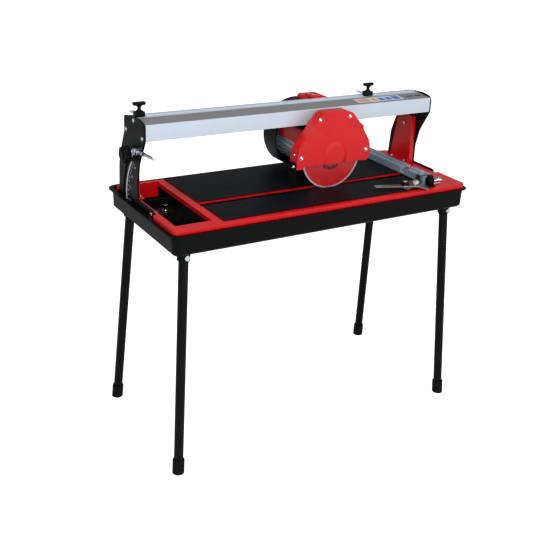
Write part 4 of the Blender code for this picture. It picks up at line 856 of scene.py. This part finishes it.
# ---------------------------------------------------------------- tilting head
@dataclass
class TiltingHead:
    """Side arms, guide rail, scale, label and their screws.

    Attributes:
        body: Body of the head.
        tick_radius: Distance of the scale's dots from the tilt axis.
        front_height: Height of the rail's front edge above its underside.
        ridge_depth: Distance of the rail's ridge behind its front.
        upright: Angle of the scale's zero about the tilt axis, in degrees.
    """

    body: str = "head"
    tick_radius: float = 0.151
    front_height: float = 0.0438
    ridge_depth: float = 0.0835
    upright: float = -2.0

    def build(self) -> None:
        """Build the head."""
        for side, _ in SIDES:
            softened("arm_" + side, self.body, BLACK_POWDER, 0.8)
        self.rail()
        softened("angle_scale", self.body, WHITE_PRINT, 0.2, 1)
        self.scale_ticks()
        self.end_screws()
        self.label()

    def rail(self) -> None:
        """Finish the extrusion, with a bead along its ridge and flat black patches of painted shade for the
        slots at its end.
        """
        low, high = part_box("guide_rail")
        ridge_y = low.y + self.ridge_depth
        finish = RailFinish("anodised_guide_rail", "#C9D3E0", 0.42, metallic=0.2, grain=Grain.ALONG_X,
                            grain_mm=0.9, relief_mm=0.012, mottle=0.05, slope="#8C8B8E",
                            slope_from_y=low.y + 0.0020, slope_to_y=low.y + 0.0585)
        softened("guide_rail", self.body, finish, 1.3, 3)
        # The slots are not cut: flat black patches at their places are painted shade, standing in for their
        # dark openings.
        slot_shade_patches = []
        for start, end in ((0.402, 0.426), (0.434, 0.458)):
            y0, y1 = low.y + 0.028, low.y + 0.036
            z = 0.5 * (self.top_at(y0) + self.top_at(y1))
            slot_shade_patches.append(block((start, y0, z - 0.0006), (end, y1, z + 0.0004), 0.0003, 1))
        settle(joined(slot_shade_patches), "rail_end_slots", self.body, BLACK_PRINT_AND_SHADE)
        bead = block((low.x + 0.0005, ridge_y - 0.0045, high.z - 0.0012),
                     (high.x - 0.0005, ridge_y - 0.0015, high.z + 0.0002), 0.0005, 2)
        settle(bead, "rail_ridge_bead", self.body, finish)

    def top_at(self, y: float) -> float:
        """Find the height of the rail's upper slope.

        Args:
            y: Place across the rail.

        Returns:
            The slope's height there.
        """
        low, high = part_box("guide_rail")
        front_top = low.z + self.front_height
        return front_top + (high.z - front_top) * (y - low.y) / self.ridge_depth

    def scale_ticks(self) -> None:
        """Print the mitre scale's dots, ticks and angles beside the white arc."""
        pivot = joint_place("head_tilt")
        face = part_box("arm_left")[0].x
        marks = []
        for index in range(10):
            angle = math.radians(self.upright + index * 5)
            marks.append(turned([(0, 0), (0.0016, 0), (0.0016, 0.00025), (0, 0.0003)], 14,
                                (face, pivot.y + self.tick_radius * math.cos(angle),
                                 pivot.z + self.tick_radius * math.sin(angle)), LEFT))
            reach = 0.0055 if index % 3 == 0 else 0.0035
            tick = block((0, 0.1555 - reach, -0.0004), (0.0003, 0.1605, 0.0004))
            marks.append(swing(tick, angle, "X", (face - 0.0003, pivot.y, pivot.z)))
        settle(joined(marks), "mitre_scale_marks", self.body, PALE_PRINT)
        for value in (0, 15, 30, 45):
            self.number(str(value), math.radians(self.upright + value), pivot, face)

    def number(self, text: str, angle: float, pivot: Vector, face: float) -> None:
        """Print one angle on the arm.

        Args:
            text: The figure.
            angle: Its place round the tilt axis, in radians.
            pivot: A point on the tilt axis.
            face: Place of the arm's outer face along X.
        """
        curve = bpy.data.curves.new("figure_" + text, "FONT")
        curve.body = text
        curve.size = 0.0085
        curve.extrude = 0.0001
        curve.align_x = "CENTER"
        curve.align_y = "CENTER"
        holder = placed("figure_holder", curve)
        bpy.context.view_layer.update()
        data = bpy.data.meshes.new_from_object(holder.evaluated_get(bpy.context.evaluated_depsgraph_get()))
        bpy.data.objects.remove(holder)
        mesh = bmesh.new()
        mesh.from_mesh(data)
        bpy.data.meshes.remove(data)
        upright = Matrix(((0, 0, -1), (-1, 0, 0), (0, 1, 0))).to_4x4()
        bmesh.ops.transform(mesh, matrix=upright, verts=mesh.verts)
        radius = self.tick_radius - 0.010
        place = (face - 0.0002, pivot.y + radius * math.cos(angle), pivot.z + radius * math.sin(angle))
        bmesh.ops.translate(mesh, vec=place, verts=mesh.verts)
        settle(mesh, "scale_figure_" + text, self.body, PALE_PRINT)

    def end_screws(self) -> None:
        """Set the screws that hold the end plates to the rail."""
        rail_low, rail_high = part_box("guide_rail")
        spots = ((rail_low.y + 0.0125, rail_low.z + 0.006), (rail_low.y + 0.0680, rail_high.z - 0.009),
                 (rail_high.y - 0.012, rail_low.z + 0.006))
        for side, sign in SIDES:
            low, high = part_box("arm_" + side)
            face = low.x if sign < 0 else high.x
            screws("end_plate_screws_" + side, self.body, [(face, y, z) for y, z in spots], (sign, 0, 0),
                   DomedScrew(0.0044, 0.0030, 0.0062))

    def label(self) -> None:
        """Lay a plain vinyl label with blank colour fields on the rail's slope."""
        low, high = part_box("guide_rail")
        slope = math.atan2(high.z - (low.z + self.front_height), self.ridge_depth)
        skin, ink = 0.00015, 0.00025
        fields = (
            ("label_base", LABEL_WHITE, 0.212, 0.379, 0.014, 0.050, skin),
            ("label_rose_field", LABEL_ROSE, 0.216, 0.262, 0.017, 0.047, ink),
            ("label_yellow_field", LABEL_YELLOW, 0.267, 0.287, 0.019, 0.041, ink),
            ("label_blue_field_1", LABEL_BLUE, 0.293, 0.314, 0.018, 0.042, ink),
            ("label_blue_field_2", LABEL_BLUE, 0.319, 0.340, 0.018, 0.042, ink),
            ("label_blue_field_3", LABEL_BLUE, 0.345, 0.373, 0.018, 0.046, ink),
        )
        for name, finish, x0, x1, y0, y1, thick in fields:
            patch = block((x0, y0, -0.0004), (x1, y1, thick), 0.0001, 1)
            swing(patch, slope, "X", (0, low.y, low.z + self.front_height))
            settle(patch, name, self.body, finish)


@dataclass
class RailStop:
    """One stop block on the rail with its tee knob.

    Attributes:
        side: Which of the two stops.
        tee_height: Height of the tee on top of the stem.
        tongue_gap: Distance behind the knob where the block's bare metal tongue starts.
    """

    side: str = "left"
    tee_height: float = 0.012
    tongue_gap: float = 0.0045

    def build(self) -> None:
        """Build the block, the waisted stem and the tee."""
        block_node, knob_node = "stop_" + self.side, "stop_" + self.side + "_knob"
        piece = softened(block_node, "stop_block_" + self.side, BLACK_ABS, 0.8, 2)
        low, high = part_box(knob_node)
        x, y = (low.x + high.x) / 2, (low.y + high.y) / 2
        piece.data.materials.append(SATIN_ALUMINIUM.material())
        for face in piece.data.polygons:
            face.material_index = int(face.center.y > high.y + self.tongue_gap)
        tee_low = high.z - self.tee_height
        stem_top = tee_low - low.z + 0.0012
        stem = turned([(0, 0), (0.0088, 0), (0.0088, 0.0014), (0.0066, 0.0030), (0.0048, 0.0062),
                       (0.0046, 0.0090), (0.0058, 0.0125), (0.0085, stem_top), (0, stem_top)],
                      28, (x, y, low.z))
        tee = block((low.x, y - 0.006, tee_low), (high.x, y + 0.006, high.z), 0.0040, 4)
        for vert in tee.verts:
            share = abs(vert.co.x - x) / (high.x - x)
            if vert.co.z < tee_low + 0.006:
                vert.co.z += 0.0035 * share ** 2
            vert.co.y = y + (vert.co.y - y) * (0.78 + 0.22 * share)
        insert = turned([(0, 0), (0.0030, 0), (0.0026, 0.0006), (0, 0.0007)], 18, (x, y, high.z - 0.0010))
        stands_for(settle(joined([stem, tee, insert]), knob_node + "_finished", "stop_turn_" + self.side,
                          BLACK_ABS), knob_node)


# ---------------------------------------------------------------- clamps
@dataclass
class TiltClamp:
    """A lobed clamping knob on its stud, with washer and cap.

    Attributes:
        side: Which of the two clamps.
        radius: Largest radius of the grip.
        lobes: Number of hollows round the grip.
        gap: Air between the arm and the washer.
    """

    side: str = "left"
    radius: float = 0.0235
    lobes: int = 7
    gap: float = 0.0003

    def build(self) -> None:
        """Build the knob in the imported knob's place."""
        node, body = "tilt_knob_" + self.side, "clamp_" + self.side
        sign = -1.0 if self.side == "left" else 1.0
        low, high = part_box(node)
        y, z = (low.y + high.y) / 2, (low.z + high.z) / 2
        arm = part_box("arm_" + self.side)
        seat = abs(arm[0].x if sign < 0 else arm[1].x) + self.gap
        end = max(abs(low.x), abs(high.x))
        start = min(abs(low.x), abs(high.x))
        outwards = (sign, 0, 0)
        grip = turn_to(lobed(self.radius, 0.0030, self.lobes, end - seat - 0.0095, 0.0032),
                       (sign * (seat + 0.0065), y, z), outwards)
        crown = turned([(0, 0), (0.0150, 0), (0.0150, 0.0016), (0.0132, 0.0028), (0.0090, 0.0030),
                        (0.0078, 0.0022), (0, 0.0022)], 36, (sign * (end - 0.0030), y, z), outwards)
        hub = turned([(0, 0), (0.0100, 0), (0.0100, 0.0040), (0.0150, 0.0055), (0.0150, 0.0070), (0, 0.0070)],
                     28, (sign * (seat + 0.0020), y, z), outwards)
        stands_for(settle(joined([grip, crown, hub]), node + "_finished", body, BLACK_ABS), node)
        reach = seat - start
        stud = turned([(0, 0), (0.0040, 0), (0.0040, reach), (0.0120, reach), (0.0122, reach + 0.0006),
                       (0.0118, reach + 0.0020), (0, reach + 0.0020)], 28, (sign * start, y, z), outwards)
        settle(stud, "tilt_stud_" + self.side, body, ZINC)


@dataclass
class LockLever:
    """Chromed lever with its black sleeve and hexagon nut.

    Attributes:
        body: Body of the lever.
        rise: How much the lever rises for each metre that it runs forwards.
        sleeve_reach: Distance of the sleeve from the lever's axis.
        tip_reach: Distance of the rounded tip.
    """

    body: str = "lever"
    rise: float = 0.09
    sleeve_reach: float = 0.034
    tip_reach: float = 0.1042

    def build(self) -> None:
        """Build the lever."""
        softened("lock_lever", self.body, CHROME, 0.4)
        axis = joint_place("lock_lever_turn")
        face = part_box("arm_left")[0].x - 0.0003
        slope = Vector((0, -1.0, self.rise)).normalized()
        start = Vector((face - 0.0055, axis.y, axis.z))
        sleeve = turned([(0.0041, 0), (0.0046, 0), (0.0052, 0.0008), (0.0052, 0.0150), (0.0046, 0.0160),
                         (0.0041, 0.0160)], 28, start + slope * self.sleeve_reach, slope)
        settle(sleeve, "lever_sleeve", self.body, BLACK_ABS)
        tip = turned([(0, 0), (0.0047, 0), (0.0050, 0.0006), (0.0050, 0.0022), (0.0040, 0.0032), (0, 0.0034)],
                     24, start + slope * self.tip_reach, slope)
        settle(tip, "lever_tip", self.body, CHROME)
        nut = bmesh.new()
        bmesh.ops.create_cone(nut, cap_ends=True, segments=6, radius1=0.0100, radius2=0.0100, depth=0.0050)
        rounded(nut, nut.edges, 0.0007)
        turn_to(nut, (face - 0.0135, axis.y, axis.z), LEFT)
        settle(nut, "lever_nut", self.body, ZINC)


# ---------------------------------------------------------------- saw head
@dataclass
class BladeGuard:
    """Red guard with its raised boss, bolts and splash flap.

    Attributes:
        body: Body of the carriage.
        cut_below: Distance below the blade's axis where the round boss is cut off flat.
        bolt_places: Places of the front bolts across and above the blade's axis.
    """

    body: str = "carriage"
    cut_below: float = 0.0215
    bolt_places: Sequence[tuple[float, float]] = (
        (-0.060, 0.110), (0.042, 0.112), (0.108, 0.009), (-0.115, 0.006))

    def build(self) -> None:
        """Build the guard."""
        softened("guard_shell", self.body, RED_POWDER, 0.5)
        softened("guard_cover", self.body, RED_POWDER, 0.6)
        softened("splash_flap", self.body, RUBBER, 0.6)
        axis = joint_place("blade_spin")
        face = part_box("guard_cover")[0].y
        boss = spun([(0, -0.0004), (0.0430, -0.0004), (0.0410, 0.0003), (0.0370, 0.0012), (0.0325, 0.0022),
                     (0.028, 0.0026), (0, 0.0026)], 56)
        bmesh.ops.bisect_plane(boss, geom=list(boss.verts) + list(boss.edges) + list(boss.faces),
                               plane_co=(0, -self.cut_below, 0), plane_no=(0, 1, 0), clear_inner=True)
        bmesh.ops.holes_fill(boss, edges=[e for e in boss.edges if e.is_boundary])
        stand = Matrix(((1, 0, 0), (0, 0, -1), (0, 1, 0))).to_4x4()
        bmesh.ops.transform(boss, matrix=Matrix.Translation((axis.x, face, axis.z)) @ stand, verts=boss.verts)
        settle(boss, "guard_boss", self.body, RED_POWDER)
        self.bolts(axis, face)

    def bolts(self, axis: Vector, face: float) -> None:
        """Set the bolts of the cover, the side wall and the flap.

        Args:
            axis: A point on the blade's axis.
            face: Place of the cover's outer face along Y.
        """
        cover, flap = DomedScrew(0.0050, 0.0038, 0.0062), DomedScrew(0.0046, 0.0034, 0.0060)
        wall = DomedScrew(0.0038, 0.0030)
        bolts = [cover.mesh((axis.x + dx, face, axis.z + dz), FRONT) for dx, dz in self.bolt_places]
        wall_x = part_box("guard_shell")[0].x + 0.0006
        bolts.append(wall.mesh((wall_x, face + 0.016, axis.z + 0.012), (-1, 0, 0.05)))
        bolts.append(flap.mesh((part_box("splash_flap")[0].x, face + 0.010, axis.z - 0.020), LEFT))
        settle(joined(bolts), "guard_bolts", self.body, CHROME)


@dataclass
class Motor:
    """Motor, red housing, rear cover, switch and carriage.

    Attributes:
        body: Body of the carriage.
        louvres: Number of louvres on the rear cover.
        louvre_pitch: Distance from one louvre to the next.
        louvre_field: Radius of the round field that they fill.
        screw_ring: Radius of the ring of cover screws.
        button_offset: Distance of each button from the middle of the switch.
    """

    body: str = "carriage"
    louvres: int = 9
    louvre_pitch: float = 0.0110
    louvre_field: float = 0.058
    screw_ring: float = 0.0795
    button_offset: float = 0.0135

    def build(self) -> None:
        """Build the drive end of the saw head."""
        softened("motor_body", self.body, CAST_ALUMINIUM, 0.5)
        softened("carriage_housing", self.body, RED_POWDER, 0.6)
        softened("rear_cover", self.body, BLACK_ABS, 0.8)
        softened("switch_box", self.body, BLACK_ABS, 1.2, 3)
        softened("carriage_truck", self.body, BLACK_POWDER, 0.6)
        softened("button_on", "on_button", GREEN_BUTTON, 0.8, 3)
        softened("button_off", "off_button", RED_ACRYLIC, 0.8, 3)
        dressed(["wheel_" + corner for corner in CORNERS], ZINC)
        self.vents()
        self.housing_screws()
        self.switch_frame()

    def vents(self) -> None:
        """Raise louvres and a ring on the cover's back, with its screws."""
        low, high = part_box("rear_cover")
        x = (low.x + high.x) / 2
        z = high.z - (high.x - low.x) / 2
        back = high.y
        bars = []
        for index in range(self.louvres):
            offset = (index - (self.louvres - 1) / 2) * self.louvre_pitch
            half = math.sqrt(max(0.0, self.louvre_field ** 2 - offset ** 2))
            bar = block((x - half, back - 0.0004, z + offset - 0.0024),
                        (x + half, back + 0.0028, z + offset + 0.0018), 0.0010, 2)
            for vert in bar.verts:
                if vert.co.y > back + 0.0014:
                    vert.co.z -= 0.0018
            bars.append(bar)
        bars.append(turned([(0.0650, -0.0006), (0.0700, -0.0006), (0.0700, 0.0016), (0.0690, 0.0026),
                            (0.0662, 0.0026), (0.0650, 0.0016)], 64, (x, back, z), BACK))
        settle(joined(bars), "cover_louvres", self.body, BLACK_ABS)
        spots = [(x + self.screw_ring * math.cos(a), back - 0.0003, z + self.screw_ring * math.sin(a))
                 for a in (math.radians(40), math.radians(140), math.radians(0), math.radians(180))]
        screws("cover_screws", self.body, spots, BACK, DomedScrew(0.0036, 0.0026))

    def housing_screws(self) -> None:
        """Set the screws on top of the housing."""
        _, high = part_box("carriage_housing")
        axis = joint_place("blade_spin")
        spots = [(axis.x + 0.050, high.y - inset, axis.z + 0.1268) for inset in (0.014, 0.038)]
        screws("housing_screws", self.body, spots, UP, DomedScrew(0.0034, 0.0024, 0.0050))

    def switch_frame(self) -> None:
        """Lay a raised frame round the two buttons."""
        low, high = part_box("switch_box")
        inset = 0.0045
        outer = block((high.x - 0.0005, low.y + inset, low.z + inset),
                      (high.x + 0.0016, high.y - inset, high.z - inset), 0.0008, 2)
        settle(outer, "switch_frame", self.body, BLACK_ABS)
        y, z = (low.y + high.y) / 2, (low.z + high.z) / 2
        ring = [(0.0074, 0), (0.0096, 0), (0.0096, 0.0016), (0.0088, 0.0024), (0.0074, 0.0024)]
        collars = [turned(ring, 28, (high.x + 0.0014, y, z + sign * self.button_offset), RIGHT)
                   for sign in (-1, 1)]
        settle(joined(collars), "switch_collars", self.body, ZINC)


@dataclass
class DiamondBlade:
    """Blade with a lacquered core, a bare rim and a row of plain printed dashes.

    Attributes:
        body: Body of the cutter.
        rim_width: Width of the bare rim.
        bore: Radius of the hole in the middle.
        skin: How far the core lies below the rim's faces.
        mark_radius: Distance of the dashes from the axis.
        first_mark: Angle of the first dash, in degrees.
        mark_step: Angle from one dash to the next.
    """

    body: str = "cutter"
    rim_width: float = 0.0045
    bore: float = 0.0127
    skin: float = 0.0002
    mark_radius: float = 0.0405
    first_mark: float = 236
    mark_step: float = 13.2

    def build(self) -> None:
        """Build the blade and dress what clamps it."""
        axis = joint_place("blade_spin")
        low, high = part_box("blade")
        radius = (high.x - low.x) / 2
        inner = radius - self.rim_width
        half = (high.y - low.y) / 2
        core = turned([(self.bore, -half + self.skin), (inner, -half + self.skin), (inner, half - self.skin),
                       (self.bore, half - self.skin)], 96, axis, BACK)
        stands_for(settle(core, "blade_core", self.body, BLADE_LACQUER), "blade")
        rim = turned([(inner - 0.0004, -half), (radius - 0.0003, -half), (radius, -half + 0.0003),
                      (radius, half - 0.0003), (radius - 0.0003, half), (inner - 0.0004, half)],
                     96, axis, BACK)
        settle(rim, "blade_rim", self.body, DIAMOND_RIM)
        self.dashes(axis, low.y)
        for node in ("inner_flange", "outer_flange", "spindle_nut"):
            softened(node, self.body, ZINC, 0.4)
        softened("motor_spindle", self.body, GROUND_STEEL, 0.4)

    def dashes(self, axis: Vector, face: float) -> None:
        """Print a curved row of plain dashes on the blade.

        Args:
            axis: A point on the blade's axis.
            face: Place of the blade's front face along Y.
        """
        parts = []
        for index, width in enumerate((0.0074, 0.0050, 0.0078, 0.0056, 0.0078, 0.0048)):
            angle = math.radians(self.first_mark + index * self.mark_step)
            dash = block((-width / 2, 0.0, -0.0056), (width / 2, 0.0003, 0.0056), 0.0001, 1)
            parts.append(swing(dash, -(angle + math.pi / 2), "Y", (
                axis.x + self.mark_radius * math.cos(angle), face - 0.0001,
                axis.z + self.mark_radius * math.sin(angle))))
        settle(joined(parts), "blade_marks", self.body, BLACK_PRINT_AND_SHADE)


# ---------------------------------------------------------------- studio
@dataclass
class Studio:
    """Camera, soft lights, floor and backdrop.

    Attributes:
        azimuth: Camera's direction round the object, in degrees.
        elevation: Camera's height above the horizon, in degrees.
        roll: Turn of the picture about the line of sight, in degrees.
        place: Camera's place.
        focal: Focal length for a 36 mm sensor.
        floor_half: Half the floor's side.
        room_light: Strength of the even light from all round.
        backdrop: Brightness of the backdrop as the camera sees it.
        floor_glow: Brightness that the camera sees added to the floor.
        aim: Point that the lights look at.
        lights: Name, place, side and power in watts of each soft light.
    """

    azimuth: float = -32.838
    elevation: float = 24.596
    roll: float = 3.274
    place: Point = (-1.3496, -2.0482, 1.5279)
    focal: float = 56.34
    floor_half: float = 30.0
    room_light: float = 0.30
    backdrop: float = 1.2
    floor_glow: float = 0.95
    aim: Point = (0.0, 0.0, 0.6)
    lights: Sequence[tuple[str, Point, float, float]] = field(default_factory=lambda: (
        ("key_softbox", (-1.6, -3.4, 2.6), 1.8, 95.0),
        ("front_fill", (2.0, -3.6, 1.4), 2.4, 30.0),
        ("top_softbox", (-0.6, -0.4, 4.2), 2.4, 45.0),
    ))

    def build(self) -> None:
        """Build the studio."""
        self.camera()
        bpy.context.scene.view_settings.view_transform = "Standard"
        self.world()
        self.floor()
        for name, place, size, power in self.lights:
            self.softbox(name, Vector(place), size, power)

    def camera(self) -> None:
        """Make the camera and aim it."""
        yaw, pitch, roll = (math.radians(v) for v in (self.azimuth, self.elevation, self.roll))
        back = Vector((math.sin(yaw) * math.cos(pitch), -math.cos(yaw) * math.cos(pitch), math.sin(pitch)))
        right = Vector((math.cos(yaw), math.sin(yaw), 0.0))
        up = back.cross(right)
        right, up = (right * math.cos(roll) + up * math.sin(roll),
                     up * math.cos(roll) - right * math.sin(roll))
        data = bpy.data.cameras.new("camera")
        data.sensor_width = 36.0
        data.lens = self.focal
        holder = placed("camera", data)
        aim = Matrix((right, up, back)).transposed().to_4x4()
        aim.translation = Vector(self.place)
        holder.matrix_world = aim
        bpy.context.scene.camera = holder

    def world(self) -> None:
        """Light the room evenly and show a white backdrop."""
        world = bpy.data.worlds.new("studio_world")
        bpy.context.scene.world = world
        world.use_nodes = True
        tree = world.node_tree
        tree.nodes.clear()
        room = add_node(tree, "ShaderNodeBackground", {"Color": linear(WHITE), "Strength": self.room_light})
        backdrop = add_node(tree, "ShaderNodeBackground", {"Color": linear(WHITE), "Strength": self.backdrop})
        seen = add_node(tree, "ShaderNodeLightPath").outputs["Is Camera Ray"]
        mixed = add_node(tree, "ShaderNodeMixShader", {0: seen, 1: room.outputs[0], 2: backdrop.outputs[0]})
        add_node(tree, "ShaderNodeOutputWorld", {"Surface": mixed.outputs[0]})

    def floor(self) -> None:
        """Lay a pale floor that glows a little, as a lit studio sweep does."""
        mesh = bmesh.new()
        bmesh.ops.create_grid(mesh, x_segments=1, y_segments=1, size=self.floor_half)
        data = bpy.data.meshes.new("studio_floor")
        mesh.to_mesh(data)
        mesh.free()
        material = bpy.data.materials.new("white_paper_sweep")
        material.use_nodes = True
        tree = material.node_tree
        shader = tree.nodes["Principled BSDF"]
        shader.inputs["Base Color"].default_value = linear("#F2F3F4")
        shader.inputs["Roughness"].default_value = 0.9
        shader.inputs["Emission Color"].default_value = linear(WHITE)
        seen = add_node(tree, "ShaderNodeLightPath").outputs["Is Camera Ray"]
        glow = add_node(tree, "ShaderNodeMath", {0: seen, 1: self.floor_glow}, operation="MULTIPLY")
        tree.links.new(glow.outputs[0], shader.inputs["Emission Strength"])
        data.materials.append(material)
        floor = placed("studio_floor", data)
        floor.location = (0.0, 0.0, -0.0005)

    def softbox(self, name: str, place: Vector, size: float, power: float) -> None:
        """Hang one square soft light that looks at the machine.

        Args:
            name: Name of the light.
            place: Where it hangs.
            size: Length of its side.
            power: Its power in watts.
        """
        data = bpy.data.lights.new(name, "AREA")
        data.shape = "SQUARE"
        data.size = size
        data.energy = power
        holder = placed(name, data)
        holder.location = place
        holder.rotation_mode = "QUATERNION"
        holder.rotation_quaternion = (Vector(self.aim) - place).to_track_quat("-Z", "Y")


def main() -> None:
    """Build every sub-assembly in order and log the objects that each one adds."""
    logging.basicConfig(level=logging.INFO, format="%(name)s: %(message)s")
    builders = (Studio(), Stand(), StopRail(), AngleStop(), TiltingHead(), RailStop("left"),
                RailStop("right"), TiltClamp("left"), TiltClamp("right"), LockLever(), BladeGuard(), Motor(),
                DiamondBlade())
    for builder in builders:
        known = set(bpy.data.objects.keys())
        builder.build()
        for name in sorted(set(bpy.data.objects.keys()) - known):
            LOG.info("%s: %s", type(builder).__name__, name)


if __name__ == "__main__":
    main()
